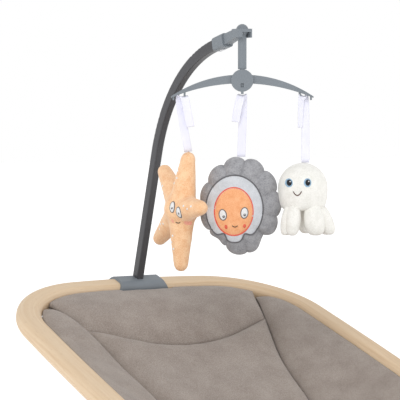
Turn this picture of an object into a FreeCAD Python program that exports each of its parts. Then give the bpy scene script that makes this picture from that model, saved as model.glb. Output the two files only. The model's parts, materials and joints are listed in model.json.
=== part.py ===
import FreeCAD, Part
import math
import os

# Bouncer seat: a tilted bentwood rim carries a padded fabric seat, and rides on two arms that
# spring and fold at the front of a steel floor loop. A curved arm on the rim holds a mobile.
# Millimetres. +X is the width, +Y points to the head end, +Z is up, and the origin is on the
# floor under the middle of the rim.

V = FreeCAD.Vector
X_AXIS = V(1, 0, 0)
Y_AXIS = V(0, 1, 0)
Z_AXIS = V(0, 0, 1)

# ---- wooden rim ----
rim_half_width = 210.0
rim_half_length = 365.0
rim_corner_radius = 120.0
rim_end_radius = 1150.0
rim_side_radius = 6000.0
rim_width = 32.0
rim_thickness = 22.0
rim_rounding = 9.5
rim_height = 360.0
rim_centre_y = 0.0
seat_tilt = 17.1
scarf_offset = 107.0
scarf_half_run = 30.0

# ---- fabric ----
bowl_profile_half_length = 365.0
bowl_profile = [(-349.0, 0.0), (-300.0, 22.0), (-220.0, 62.0), (-150.0, 84.0), (-90.0, 90.0),
                (-20.0, 80.0), (40.0, 64.0), (100.0, 50.0), (160.0, 41.5), (190.0, 33.5),
                (220.0, 21.5), (250.0, 10.5), (285.0, 2.0), (320.0, 0.0), (349.0, 0.0)]
bowl_across_power = 2.8
edge_drop = 3.0
fabric_gap = 0.6
shell_thickness = 3.0
pad_thickness = 18.0
pad_edge_thickness = 9.0
rail_thickness = 4.0
rail_height = 4.4
panel_gap = 1.2
seam_spread_middle = 98.0
seam_spread_end = 150.0
seam_end_length = 300.0
head_seam_along = 219.0
head_seam_spread = 133.0
head_seam_sag = 33.0
leg_seam_length = -150.0

# ---- floor loop ----
tube_radius = 10.0
tube_wall = 1.2
loop_half_width = 208.0
loop_front = 330.0
loop_rear = 230.0
loop_corner_radius = 50.0
tube_centre_height = 14.0
joiner_length = 70.0
foot_length = 34.0
foot_spread = 115.0

# ---- bounce and fold hinges ----
hinge_base_length = 36.0
bounce_y = -(loop_front - loop_corner_radius - hinge_base_length / 2)
bounce_z = 46.0
knuckle_length = 34.0
arm_rise = 30.0
ear_radius = 14.0
ear_thickness = 6.0
knuckle_width = 15.4
knuckle_plate = 8.0
pin_radius = 4.0
running_clearance = 0.05
side_clearance = 0.3
arm_arrival = 57.0
arm_bend_radius = 500.0

# ---- recline hubs ----
hub_along = 30.0
hub_drop = 50.0
hub_radius = 27.0
hub_inner_thickness = 13.6
hub_outer_thickness = 16.0
hub_gap = 0.4
gear_radius = 15.5
gear_thickness = 8.0
gear_teeth = 12
hub_web = 2.0
button_radius = 13.4
button_proud = 6.0
button_travel = 4.0
flange_thickness = 8.0
screw_radius = 2.5
screw_head_radius = 4.5
screw_head_height = 3.0

# ---- toy arm clamp and toy arm ----
clamp_length = 76.0
clamp_wall = 3.0
clamp_room = 1.6
clamp_clearance = 0.2
arm_width = 10.0
arm_depth = 14.0
arm_wall = 1.5
arm_rounding = 2.0
arm_set_back = 3.0
arm_straight = 176.0
arm_curve_radius = 194.0
arm_curve_angle = 60.9
arm_tip_run = 22.0
tongue_width = 8.0
tongue_depth = 10.0
socket_clearance = 0.2

# ---- mobile ----
mobile_turn = -30.9
ball_radius = 7.4
ball_centre_y = rim_centre_y + 87.2
ball_centre_z = 799.4
rod_radius = 5.2
ball_to_hub = 60.6
spigot_radius = 3.0
mobile_hub_radius = 13.4
mobile_hub_thickness = 14.0
bar_half_length = 86.0
bar_top = 7.1
bar_bottom = -3.4
bar_tip_drop = 20.0
bar_thickness = 8.0
tab_position = 69.5
hang_position = 76.0
ribbon_width = 10.0
ribbon_thickness = 0.8
swing_clearance_angle = 14.0


seat_place = FreeCAD.Placement(V(0, rim_centre_y, rim_height), FreeCAD.Rotation(X_AXIS, seat_tilt))
mobile_place = FreeCAD.Placement(V(0, ball_centre_y, ball_centre_z - ball_to_hub),
                                 FreeCAD.Rotation(Z_AXIS, mobile_turn))


# ---------------------------------------------------------------- helpers

def export(name, shape, place=None):
    if place is not None:
        shape = shape.copy()
        shape.Placement = place.multiply(shape.Placement)
    shape.exportStep("parts/%s.step" % name)
    print("%-22s %2d solid(s) %9.0f mm3 %s" % (name, len(shape.Solids), shape.Volume, shape.isValid()))


def export_pair(name, right_shape, place=None):
    export(name + "_right", right_shape, place)
    export(name + "_left", right_shape.mirror(V(0, 0, 0), X_AXIS), place)


def both_sides(right_shape):
    return Part.makeCompound([right_shape, right_shape.mirror(V(0, 0, 0), X_AXIS)])


def block(x0, x1, y0, y1, z0, z1):
    return Part.makeBox(x1 - x0, y1 - y0, z1 - z0, V(x0, y0, z0))


def rod(radius, start, end):
    axis = end - start
    return Part.makeCylinder(radius, axis.Length, start, axis)


def x_disc(radius, x0, x1, y, z):
    return rod(radius, V(x0, y, z), V(x1, y, z))


def round_edges(shape, radius, direction):
    edges = [e for e in shape.Edges
             if len(e.Vertexes) == 2 and e.Curve.TypeId == "Part::GeomLine"
             and abs(abs(e.tangentAt(e.FirstParameter).dot(direction)) - 1) < 1e-6]
    return shape.makeFillet(radius, edges)


def rounded_block(x0, x1, y0, y1, z0, z1, radius, direction):
    return round_edges(block(x0, x1, y0, y1, z0, z1), radius, direction)


def prism(points, depth_vector):
    face = Part.Face(Part.makePolygon(points + [points[0]]))
    return face.extrude(depth_vector)


def bent_path(points, radius):
    """Straight runs joined by tangent arcs of one radius."""
    edges = []
    start = points[0]
    for before, corner, after in zip(points, points[1:], points[2:]):
        into = (corner - before).normalize()
        out = (after - corner).normalize()
        half_turn = into.getAngle(out) / 2
        reach = radius * math.tan(half_turn)
        first = corner - into * reach
        last = corner + out * reach
        inward = (out - into).normalize()
        middle = corner + inward * (radius / math.cos(half_turn) - radius)
        edges.append(Part.LineSegment(start, first).toShape())
        edges.append(Part.Arc(first, middle, last).toShape())
        start = last
    edges.append(Part.LineSegment(start, points[-1]).toShape())
    return Part.Wire(edges)


def sweep_round(path, radius):
    start = path.Edges[0]
    circle = Part.Circle(start.valueAt(start.FirstParameter),
                         start.tangentAt(start.FirstParameter), radius)
    return path.makePipeShell([Part.Wire(circle.toShape())], True, False)


def bent_tube(points, bend_radius):
    path = bent_path(points, bend_radius)
    return sweep_round(path, tube_radius).cut(sweep_round(path, tube_radius - tube_wall))


# ---------------------------------------------------------------- rim outline

def corner_centre():
    """Centre of the corner arc that is tangent to the end arc and the side arc."""
    end_y = rim_half_length - rim_end_radius
    side_x = rim_half_width - rim_side_radius
    to_end = rim_end_radius - rim_corner_radius
    to_side = rim_side_radius - rim_corner_radius
    apart = math.hypot(side_x, end_y)
    along = (to_end ** 2 - to_side ** 2 + apart ** 2) / (2 * apart)
    across = math.sqrt(to_end ** 2 - along ** 2)
    ux, uy = side_x / apart, -end_y / apart
    return V(along * ux + across * uy, end_y + along * uy - across * ux, 0)


def rim_outline(offset):
    """Closed outline of the rim's centreline, moved outwards by the offset."""
    centre = corner_centre()
    end_centre = V(0, rim_half_length - rim_end_radius, 0)
    side_centre = V(rim_half_width - rim_side_radius, 0, 0)
    to_head = (centre - end_centre).normalize()
    to_side = (centre - side_centre).normalize()
    to_corner = (to_head + to_side).normalize()
    head_point = end_centre + to_head * (rim_end_radius + offset)
    corner_point = centre + to_corner * (rim_corner_radius + offset)
    side_point = side_centre + to_side * (rim_side_radius + offset)
    head_middle = V(0, rim_half_length + offset, 0)
    side_middle = V(rim_half_width + offset, 0, 0)

    def flip(point, sx, sy):
        return V(point.x * sx, point.y * sy, 0)

    edges = []
    for sy in (1, -1):
        edges.append(Part.Arc(flip(head_point, -1, sy), flip(head_middle, 1, sy),
                              flip(head_point, 1, sy)).toShape())
    for sx in (1, -1):
        edges.append(Part.Arc(flip(side_point, sx, 1), flip(side_middle, sx, 1),
                              flip(side_point, sx, -1)).toShape())
        for sy in (1, -1):
            edges.append(Part.Arc(flip(head_point, sx, sy), flip(corner_point, sx, sy),
                                  flip(side_point, sx, sy)).toShape())
    return Part.Wire(Part.__sortEdges__(edges))


def outline_slab(offset, low, high):
    face = Part.Face(rim_outline(offset))
    face.translate(V(0, 0, low))
    return face.extrude(V(0, 0, high - low))


def rim_ring(grow=0.0):
    half = rim_thickness / 2 + grow
    ring = outline_slab(rim_width / 2 + grow, -half, half)
    ring = ring.cut(outline_slab(-rim_width / 2 - grow, -half - 1, half + 1))
    edges = [e for e in ring.Edges if e.BoundBox.ZLength < 1e-6]
    return ring.makeFillet(rim_rounding + grow, edges)


# ---------------------------------------------------------------- wooden rim

def scarf_region():
    """The side of the rim to the right of the two slanted scarf joints."""
    reach = 500.0
    out_x = scarf_offset - scarf_half_run
    in_x = scarf_offset + scarf_half_run * 1.45
    edge_y = rim_half_length + rim_width * 0.8
    in_y = rim_half_length - rim_width * 1.3
    head_side = [V(out_x, reach, 0), V(out_x, edge_y, 0), V(in_x, in_y, 0)]
    foot_side = [V(-p.x, -p.y, 0) for p in reversed(head_side)]
    points = head_side + foot_side + [V(reach, -reach, 0), V(reach, reach, 0)]
    region = prism(points, V(0, 0, 4 * rim_thickness))
    region.translate(V(0, 0, -2 * rim_thickness))
    return region


def bracket_screw_places():
    return [hub_along - 26.0, hub_along + 26.0]


def clamp_screw_places():
    return [-26.0, 26.0]


def make_rim():
    ring = rim_ring()
    low = -rim_thickness
    for side in (-1, 1):
        for along in bracket_screw_places():
            hole = rod(screw_radius + socket_clearance, V(side * rim_half_width, along, low),
                       V(side * rim_half_width, along, 3))
            ring = ring.cut(hole)
    for x in clamp_screw_places():
        ring = ring.cut(rod(screw_radius + socket_clearance, V(x, rim_half_length, low),
                            V(x, rim_half_length, -low)))
    ring = ring.cut(tongue_hole())
    region = scarf_region()
    export("rim_left", ring.cut(region), seat_place)
    export("rim_right", ring.common(region), seat_place)


def make_cover_rail():
    """The rail under the fabric's edge, on the wood's inner face."""
    below = shell_thickness + side_clearance
    band = fabric_layer(lambda x, y: bowl_height(x, y) - below - rail_height,
                        lambda x, y: bowl_height(x, y) - below, 0)
    rail = band.cut(outline_slab(-rim_width / 2 - rail_thickness, -250, 60))
    export("cover_rail", rail.cut(clamp_space()), seat_place)


# ---------------------------------------------------------------- fabric

def profile_depth(along):
    """How far the seat's middle hangs below its edge, by a smooth curve through the profile."""
    last = len(bowl_profile) - 1

    def slope(index):
        low = bowl_profile[max(index - 1, 0)]
        high = bowl_profile[min(index + 1, last)]
        return (high[1] - low[1]) / (high[0] - low[0])

    drawn = along * bowl_profile_half_length / rim_half_length
    index = 0
    while index < last - 1 and drawn > bowl_profile[index + 1][0]:
        index += 1
    start, depth_start = bowl_profile[index]
    end, depth_end = bowl_profile[index + 1]
    span = end - start
    t = max(0.0, min(1.0, (drawn - start) / span))
    rise = t * t * (3 - 2 * t)
    bend = span * (slope(index) * t * (1 - t) ** 2 - slope(index + 1) * t * t * (1 - t))
    return depth_start + (depth_end - depth_start) * rise + bend


def opening_half_width(along):
    """Half width of the rim's inner opening at a place along the seat."""
    centre = corner_centre()
    side_radius = rim_side_radius - rim_width / 2
    corner_radius = rim_corner_radius - rim_width / 2
    tangent = centre.y * side_radius / (rim_side_radius - rim_corner_radius)
    v = min(abs(along), centre.y + 0.93 * corner_radius)
    if v <= tangent:
        return rim_half_width - rim_side_radius + math.sqrt(side_radius ** 2 - v ** 2)
    return centre.x + math.sqrt(corner_radius ** 2 - (v - centre.y) ** 2)


def bowl_height(across, along):
    """Height of the stretched fabric at a place across and along the seat."""
    share = abs(across) / opening_half_width(along)
    return -edge_drop - profile_depth(along) * (1 - share ** bowl_across_power)


def pad_height(across, along):
    """Height of the padding's top, which thins towards the rim."""
    share = abs(across) / opening_half_width(along)
    t = abs(along) / (rim_half_length - rim_width / 2)
    fullness = (1 - share ** 4) * (1 - t ** 6)
    thickness = pad_edge_thickness + (pad_thickness - pad_edge_thickness) * fullness
    return bowl_height(across, along) + fabric_gap + thickness


def under_surface(height):
    """Everything below a surface that is given by its heights."""
    across_steps = 24
    along_steps = 32
    rows = []
    for i in range(across_steps + 1):
        x = rim_half_width * (2 * i / across_steps - 1)
        row = []
        for j in range(along_steps + 1):
            y = rim_half_length * (2 * j / along_steps - 1)
            row.append(V(x, y, height(x, y)))
        rows.append(row)
    surface = Part.BSplineSurface()
    surface.interpolate(rows)
    return surface.toShape().extrude(V(0, 0, -300))


def fabric_layer(low, high, inset):
    """Fabric between two surfaces, cut to the rim's inner outline."""
    layer = outline_slab(-rim_width / 2 - inset, -250, 60).cut(under_surface(low))
    return layer.common(under_surface(high))


def seam_arc_region(side, shift):
    """Everything outside one long side seam."""
    sag = seam_spread_end - seam_spread_middle
    radius = (seam_end_length ** 2 + sag ** 2) / (2 * sag)
    end = rim_half_length + 60.0
    end_x = seam_spread_middle + radius - math.sqrt(radius ** 2 - end ** 2)
    low = V(side * (end_x + shift), -end, 0)
    high = V(side * (end_x + shift), end, 0)
    seam = Part.Arc(low, V(side * (seam_spread_middle + shift), 0, 0), high).toShape()
    far = side * 600.0
    rest = Part.makePolygon([high, V(far, end, 0), V(far, -end, 0), low])
    region = Part.Face(Part.Wire([seam] + rest.Edges)).extrude(V(0, 0, 500))
    region.translate(V(0, 0, -350))
    return region


def head_region(shift):
    """Everything on the head side of the curved head seam."""
    middle = V(0, head_seam_along + shift, 0)
    radius = (head_seam_spread ** 2 + head_seam_sag ** 2) / (2 * head_seam_sag)
    centre_y = middle.y + radius
    half = min(radius * 0.95, rim_half_width)
    end_y = centre_y - math.sqrt(radius ** 2 - half ** 2)
    low = V(-half, end_y, 0)
    high = V(half, end_y, 0)
    seam = Part.Arc(low, middle, high).toShape()
    top = 800.0
    rest = Part.makePolygon([high, V(half, top, 0), V(-half, top, 0), low])
    region = Part.Face(Part.Wire([seam] + rest.Edges)).extrude(V(0, 0, 500))
    region.translate(V(0, 0, -350))
    return region


def make_fabric():
    shell = fabric_layer(lambda x, y: bowl_height(x, y) - shell_thickness, bowl_height, fabric_gap)
    export("seat_shell", shell.cut(clamp_space()), seat_place)
    pad = fabric_layer(lambda x, y: bowl_height(x, y) + fabric_gap, pad_height, fabric_gap)
    pad = pad.cut(clamp_space())
    half_gap = panel_gap / 2
    for name, side in (("side_panel_left", -1), ("side_panel_right", 1)):
        export(name, pad.common(seam_arc_region(side, half_gap)), seat_place)
    middle = pad.cut(seam_arc_region(-1, -half_gap)).cut(seam_arc_region(1, -half_gap))
    head = middle.common(head_region(half_gap))
    export("head_panel", head, seat_place)
    middle = middle.cut(head_region(-half_gap))
    leg = block(-300, 300, -500, leg_seam_length - half_gap, -350, 150)
    export("leg_panel", middle.common(leg), seat_place)
    back = block(-300, 300, leg_seam_length + half_gap, 500, -350, 150)
    export("back_panel", middle.common(back), seat_place)


# ---------------------------------------------------------------- harness

buckle_along = -70.0
buckle_lift = 52.0
strap_width = 22.0
strap_thickness = 2.0


def buckle_centre():
    return V(0, buckle_along, pad_height(0, buckle_along) + buckle_lift)


def make_harness():
    centre = buckle_centre()
    body = rounded_block(-24, 24, centre.y - 19, centre.y + 19, centre.z - 7, centre.z + 7, 8, Z_AXIS)
    button_hole = rod(9.3, centre + V(0, 0, -4.5), centre + V(0, 0, 8))
    body = body.cut(button_hole)
    slot_half = 10.3
    for side in (-1, 1):
        slot = block(min(side * 12, side * 30), max(side * 12, side * 30),
                     centre.y - slot_half, centre.y + slot_half, centre.z - 5.3, centre.z - 2.2)
        body = body.cut(slot)
    export("buckle_body", body, seat_place)
    button = rod(9.0, centre + V(0, 0, -1.0), centre + V(0, 0, 8.5)).cut(
        rod(5.0, centre + V(0, 0, -1.5), centre + V(0, 0, 5.5)))
    export("buckle_button", button, seat_place)

    tongue = block(14, 40, centre.y - 10, centre.y + 10, centre.z - 5, centre.z - 2.5)
    loop = rounded_block(30, 46, centre.y - 15, centre.y + 15, centre.z - 5.5, centre.z - 2, 4, Z_AXIS)
    window = block(38, 42, centre.y - 11.5, centre.y + 11.5, centre.z - 8, centre.z)
    tongue = tongue.fuse(loop).cut(window).removeSplitter()
    export("buckle_tongues", both_sides(tongue), seat_place)

    floor = pad_height(0, buckle_along) + 1.0
    crotch = block(-strap_width / 2, strap_width / 2, centre.y - 1, centre.y + 1, floor, centre.z - 7)
    export("crotch_strap", crotch, seat_place)

    reach = 104.0
    side_floor = pad_height(reach, buckle_along) + 4.0
    top = centre.z - 3.75
    strap_points = [V(47.0, 0, top), V(68.0, 0, top - 1.0), V(reach, 0, side_floor)]
    offset = V(0, 0, strap_thickness)
    outline = strap_points + [p - offset for p in reversed(strap_points)]
    strap = prism([p + V(0, centre.y - strap_width / 2, 0) for p in outline], V(0, strap_width, 0))
    export("waist_straps", both_sides(strap), seat_place)


# ---------------------------------------------------------------- toy arm clamp

def tongue_hole():
    half_w = tongue_width / 2 + socket_clearance
    half_d = tongue_depth / 2 + socket_clearance
    middle = rim_half_length + arm_set_back
    return block(-half_w, half_w, middle - half_d, middle + half_d, -60, 60)


def clamp_solid():
    half_length = clamp_length / 2
    low_y = rim_half_length - rim_width / 2 - clamp_wall
    high_y = rim_half_length + rim_width / 2 + clamp_wall
    half_height = rim_thickness / 2 + clamp_wall
    solid = rounded_block(-half_length, half_length, low_y, high_y,
                          -half_height, half_height, rim_rounding + clamp_wall - 0.5, X_AXIS)
    slant = 7.0
    for side in (-1, 1):
        corner = [V(side * (half_length + 1), low_y - 20, half_height + 1),
                  V(side * (half_length - slant), low_y - 20, half_height + 1),
                  V(side * (half_length + 1), low_y - 20, 0)]
        solid = solid.cut(prism(corner, V(0, 100, 0)))
    return solid


def clamp_space():
    """Room that the fabric and its rail leave round the clamp."""
    half_length = clamp_length / 2 + clamp_room
    reach = rim_width / 2 + clamp_wall + clamp_room
    return block(-half_length, half_length, rim_half_length - reach, rim_half_length + reach,
                 -2 * rim_thickness, 2 * rim_thickness)


def make_clamp():
    solid = clamp_solid().cut(rim_ring(clamp_clearance)).cut(tongue_hole())
    split = 1.0
    big = 100.0
    upper = solid.common(block(-big, big, 0, 2 * rim_half_length, -split, big))
    lower = solid.common(block(-big, big, 0, 2 * rim_half_length, -big, -split - side_clearance))
    top = rim_thickness / 2
    shank_top = top + clamp_wall - 1.5
    head_low = -top - clamp_wall - 0.5
    screws = []
    for x in clamp_screw_places():
        shank_low = V(x, rim_half_length, head_low)
        shank = rod(screw_radius, shank_low, V(x, rim_half_length, shank_top))
        head = rod(screw_head_radius, shank_low, shank_low + V(0, 0, screw_head_height))
        screws.append(shank.fuse(head).removeSplitter())
        upper = upper.cut(rod(screw_radius + 0.05, V(x, rim_half_length, 0),
                              V(x, rim_half_length, shank_top + 0.2)))
        lower = lower.cut(rod(screw_radius + socket_clearance, V(x, rim_half_length, -2 * big),
                              V(x, rim_half_length, 0)))
        lower = lower.cut(rod(screw_head_radius + socket_clearance,
                              shank_low + V(0, 0, -big), shank_low + V(0, 0, screw_head_height)))
    export("clamp_upper", upper, seat_place)
    export("clamp_lower", lower, seat_place)
    export("clamp_screws", Part.makeCompound(screws), seat_place)


# ---------------------------------------------------------------- toy arm

def arm_axis_points():
    middle = rim_half_length + arm_set_back
    start = V(0, middle, rim_thickness / 2 + clamp_wall + side_clearance)
    turn = math.radians(arm_curve_angle)
    reach = arm_curve_radius * math.tan(turn / 2)
    corner = start + V(0, 0, arm_straight + reach)
    end = corner + V(0, -math.sin(turn), math.cos(turn)) * (reach + arm_tip_run)
    return [start, corner, end]


def arm_section(at, direction, width, depth, rounding=0.0):
    """A rectangle square to a direction, with round corners if a rounding is given."""
    across = X_AXIS
    up = direction.cross(across).normalize()
    half_w = width / 2
    half_d = depth / 2

    def corner(sx, sy, back_w, back_d):
        return at + across * (sx * (half_w - back_w)) + up * (sy * (half_d - back_d))

    order = ((-1, -1), (1, -1), (1, 1), (-1, 1))
    if not rounding:
        points = [corner(sx, sy, 0, 0) for sx, sy in order]
        return Part.makePolygon(points + [points[0]])
    middle = rounding * (1 - math.sqrt(0.5))
    turns = []
    for k, (sx, sy) in enumerate(order):
        on_side = corner(sx, sy, 0, rounding)
        on_end = corner(sx, sy, rounding, 0)
        start, end = (on_side, on_end) if k % 2 == 0 else (on_end, on_side)
        turns.append((start, corner(sx, sy, middle, middle), end))
    edges = []
    for (start, bend, end), following in zip(turns, turns[1:] + turns[:1]):
        edges.append(Part.Arc(start, bend, end).toShape())
        edges.append(Part.makeLine(end, following[0]))
    return Part.Wire(edges)


def make_toy_arm():
    points = arm_axis_points()
    path = bent_path(points, arm_curve_radius)
    outside = arm_section(points[0], Z_AXIS, arm_width, arm_depth, arm_rounding)
    inside = arm_section(points[0], Z_AXIS, arm_width - 2 * arm_wall, arm_depth - 2 * arm_wall)
    bar = path.makePipeShell([outside], True, False).cut(path.makePipeShell([inside], True, False))
    export("toy_arm_bar", bar, seat_place)

    start = points[0]
    tongue_low = -rim_thickness / 2 - clamp_wall + 1
    half_w = tongue_width / 2
    half_d = tongue_depth / 2
    tongue = block(-half_w, half_w, start.y - half_d, start.y + half_d, tongue_low, start.z)
    plug_w = arm_width / 2 - arm_wall - 0.1
    plug_d = arm_depth / 2 - arm_wall - 0.1
    plug = block(-plug_w, plug_w, start.y - plug_d, start.y + plug_d, start.z, start.z + 30)
    export("toy_arm_plug", tongue.fuse(plug).removeSplitter(), seat_place)


def sleeve_shape(end, direction, width, depth, back, front):
    section = arm_section(end - direction * back, direction, width, depth)
    solid = Part.Face(section).extrude(direction * (back + front))
    return round_edges(solid, 3.5, direction)


def make_arm_tip():
    """Sleeve on the arm's end, with a cradle that the hanging rod's ball sits in."""
    points = [seat_place.multVec(p) for p in arm_axis_points()]
    end = points[-1]
    along = (points[-1] - points[-2]).normalize()
    sleeve = sleeve_shape(end, along, arm_width + 5, arm_depth + 3, 16, 8)
    bar_hole = Part.Face(arm_section(end - along * 40, along, arm_width + 0.2, arm_depth + 0.2))
    bar_hole = bar_hole.extrude(along * 40.1)
    ball = V(0, ball_centre_y, ball_centre_z)
    cradle_half_w = ball_radius + 2.2
    cradle_low = ball.z - 9.0
    cradle_high = ball.z + 1.5
    cradle = rounded_block(-cradle_half_w, cradle_half_w, ball.y - 10, ball.y + 11.5,
                           cradle_low, cradle_high, 4, Z_AXIS)
    back = ball.y + 10.5
    neck_end = end + along * 2
    neck = prism([V(-5.5, back, cradle_low), V(-5.5, back, cradle_high),
                  V(-5.5, neck_end.y, neck_end.z + 7), V(-5.5, neck_end.y, neck_end.z - 7)],
                 V(11, 0, 0))
    solid = sleeve.fuse(cradle).fuse(neck).removeSplitter().cut(bar_hole)
    solid = solid.cut(Part.makeSphere(ball_radius + 0.25, ball))
    solid = solid.cut(rod(ball_radius + 0.25, ball, ball + V(0, 0, 20)))
    lean = math.tan(math.radians(swing_clearance_angle))
    half_slot = rod_radius + 0.6
    reach = half_slot + 9.5 * lean + 0.6
    slot = block(-half_slot, half_slot, ball.y - reach, ball.y + reach, ball.z - 30, ball.z)
    mouth = block(-half_slot, half_slot, ball.y - 30, ball.y, ball.z - 30, ball.z - 2.5)
    solid = solid.cut(slot).cut(mouth)
    screw_at = end - along * 6
    down = along.cross(X_AXIS).normalize()
    if down.z > 0:
        down = down * -1
    screw_head = rod(3.2, screw_at + down * (arm_depth / 2 + 0.1), screw_at + down * (arm_depth / 2 + 2.5))
    solid = solid.cut(rod(3.4, screw_at + down * (arm_depth / 2), screw_at + down * 30))
    export("arm_tip_cradle", solid)
    export("tip_screw", screw_head)


# ---------------------------------------------------------------- mobile

def make_hanging_rod():
    top = V(0, 0, ball_to_hub)
    shoulder = V(0, 0, mobile_hub_radius + side_clearance)
    shape = Part.makeSphere(ball_radius, top)
    shape = shape.fuse(rod(rod_radius, shoulder, top))
    spigot_low = V(0, 0, -mobile_hub_radius + 4.4)
    shape = shape.fuse(rod(spigot_radius, spigot_low, shoulder)).removeSplitter()
    shape = shape.cut(rod(1.3, spigot_low, spigot_low + V(0, 0, 9)))
    export("hanging_rod", shape, mobile_place)
    screw = rod(1.25, spigot_low + V(0, 0, -0.1), spigot_low + V(0, 0, 8))
    screw = screw.fuse(rod(4.5, spigot_low + V(0, 0, -2.6), spigot_low + V(0, 0, -0.1)))
    export("rod_end_screw", screw.removeSplitter(), mobile_place)


def bar_blank():
    tip = bar_half_length
    half = bar_thickness / 2
    left_top = V(-tip, 0, -bar_tip_drop + 0.8)
    right_top = V(tip, 0, -bar_tip_drop + 0.8)
    left_low = V(-tip, 0, -bar_tip_drop - 0.8)
    right_low = V(tip, 0, -bar_tip_drop - 0.8)
    top = Part.Arc(left_top, V(0, 0, bar_top), right_top).toShape()
    low = Part.Arc(right_low, V(0, 0, bar_bottom), left_low).toShape()
    face = Part.Face(Part.Wire([top, Part.makeLine(right_top, right_low), low,
                                Part.makeLine(left_low, left_top)]))
    face.translate(V(0, -half, 0))
    return face.extrude(V(0, bar_thickness, 0))


def make_crossbar():
    bar = bar_blank()
    for side in (-1, 1):
        centre = side * tab_position
        tab = block(centre - 1.2, centre + 1.2, -3, 3, -19.0, -12.0)
        bar = bar.fuse(tab)
        hook = block(side * (bar_half_length - 3) - 1, side * (bar_half_length - 3) + 1, -3, 3,
                     -bar_tip_drop - 3.5, -bar_tip_drop + 1.2)
        bar = bar.fuse(hook)
    bar = bar.removeSplitter()
    bore = rod(spigot_radius + running_clearance, V(0, 0, -40), V(0, 0, 40))
    export("crossbar", bar.cut(bore), mobile_place)


def make_mobile_hub():
    half = mobile_hub_thickness / 2
    hub = rod(mobile_hub_radius, V(0, -half, 0), V(0, half, 0))
    nib = block(-1.6, 1.6, -half, -half + 1.8, -mobile_hub_radius - 3, -mobile_hub_radius + 2)
    hub = hub.fuse(nib).removeSplitter().cut(bar_blank())
    hub = hub.cut(rod(spigot_radius + running_clearance, V(0, 0, -40), V(0, 0, 40)))
    head_top = -mobile_hub_radius + 4.4
    hub = hub.cut(rod(4.8, V(0, 0, -40), V(0, 0, head_top)))
    window = block(-1.9, 1.9, -half - 1, -half + 2, -8.4, -3.4)
    export("mobile_hub", hub.cut(window), mobile_place)


def strip(points, width, y0, thickness):
    """A flat ribbon that follows points in the bar's own plane."""
    half = width / 2
    left = [V(p[0] - half, y0, p[1]) for p in points]
    right = [V(p[0] + half, y0, p[1]) for p in reversed(points)]
    return prism(left + right, V(0, thickness, 0))


def make_ribbons():
    top = -19.4
    hub_top = -mobile_hub_radius - 3.4
    layouts = {
        "star_ribbon": ([(-hang_position, top), (-65.5, -84.0)], [(-68.5, top - 2), (-63.5, -56.0)]),
        "shell_ribbon": ([(1.0, hub_top), (-1.0, -86.5)], [(-3.5, hub_top), (-8.0, -50.0)]),
        "jelly_ribbon": ([(hang_position, top), (77.0, -95.5)], [(71.0, top - 2), (70.0, -57.0)]),
    }
    for name, (run, tail) in layouts.items():
        main = strip(run, ribbon_width, 0, ribbon_thickness)
        end = strip(tail, ribbon_width * 0.5, ribbon_thickness, ribbon_thickness)
        export(name, main.fuse(end).removeSplitter(), mobile_place)


# ---------------------------------------------------------------- plush toys

star_arms = [(4.0, 62.0), (73.0, 71.0), (139.0, 75.0), (211.0, 84.0), (268.0, 75.0)]
star_body_radius = 20.0
star_arm_root = 15.0
star_arm_tip = 7.5
star_turn = 65.0
star_centre = V(-73.0, 0, -155.0)


def star_arm(angle, length):
    """One tapered arm with a round tip, in the star's own upright plane."""
    near = 8.0
    far = length - star_arm_tip
    arm = Part.makeCone(star_arm_root, star_arm_tip, far - near, V(near, 0, 0), X_AXIS)
    arm = arm.fuse(Part.makeSphere(star_arm_tip, V(far, 0, 0)))
    arm.rotate(V(0, 0, 0), Y_AXIS, -angle)
    return arm


def make_star():
    star = Part.makeSphere(star_body_radius)
    star = star.fuse([star_arm(angle, length) for angle, length in star_arms])
    star.rotate(V(0, 0, 0), Z_AXIS, -star_turn)
    star.translate(star_centre)
    export("star_toy", star, mobile_place)


shell_centre = V(-1.4, 0, -149.5)
shell_half_width = 40.0
shell_half_height = 49.0
shell_lobe = 8.5
shell_lobes = 13
shell_half_thickness = 15.0


def make_shell():
    half = shell_half_thickness
    ellipse = Part.Ellipse(V(0, 0, 0), shell_half_height, shell_half_width)
    turn = FreeCAD.Placement(shell_centre + V(0, half, 0), FreeCAD.Rotation(V(0, 0, 1), V(0, 1, 0)))
    face = Part.Face(Part.Wire(ellipse.toShape()))
    face.Placement = turn.multiply(FreeCAD.Placement(V(0, 0, 0), FreeCAD.Rotation(Z_AXIS, 90)))
    body = face.extrude(V(0, -2 * half, 0))
    lobes = []
    for i in range(shell_lobes):
        angle = 2 * math.pi * (i + 0.5) / shell_lobes
        at = shell_centre + V(shell_half_width * math.sin(angle), 0, shell_half_height * math.cos(angle))
        lobes.append(rod(shell_lobe, at + V(0, -half + 2, 0), at + V(0, half - 2, 0)))
    body = body.fuse(lobes).removeSplitter()
    export("shell_toy", body, mobile_place)
    pearl_half_width = 22.0
    pearl_half_height = 28.0
    pearl = Part.Face(Part.Wire(Part.Ellipse(V(0, 0, 0), pearl_half_height,
                                             pearl_half_width).toShape()))
    pearl.Placement = FreeCAD.Placement(
        shell_centre + V(1.5, -half - 0.3, 3.0),
        FreeCAD.Rotation(V(0, 0, 1), V(0, 1, 0)).multiply(FreeCAD.Rotation(Z_AXIS, 90)))
    pearl = pearl.extrude(V(0, -8, 0))
    front = [e for e in pearl.Edges if e.BoundBox.YLength < 1e-6
             and e.BoundBox.Center.y < -half - 5]
    export("pearl_toy", pearl.makeFillet(5.0, front), mobile_place)


jelly_centre = V(75.0, 0, -129.0)
jelly_radius = 30.0
tentacle_count = 6
tentacle_radius = 8.5
tentacle_root = 16.0
tentacle_drop = 28.0
tentacle_flare = 7.0


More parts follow.
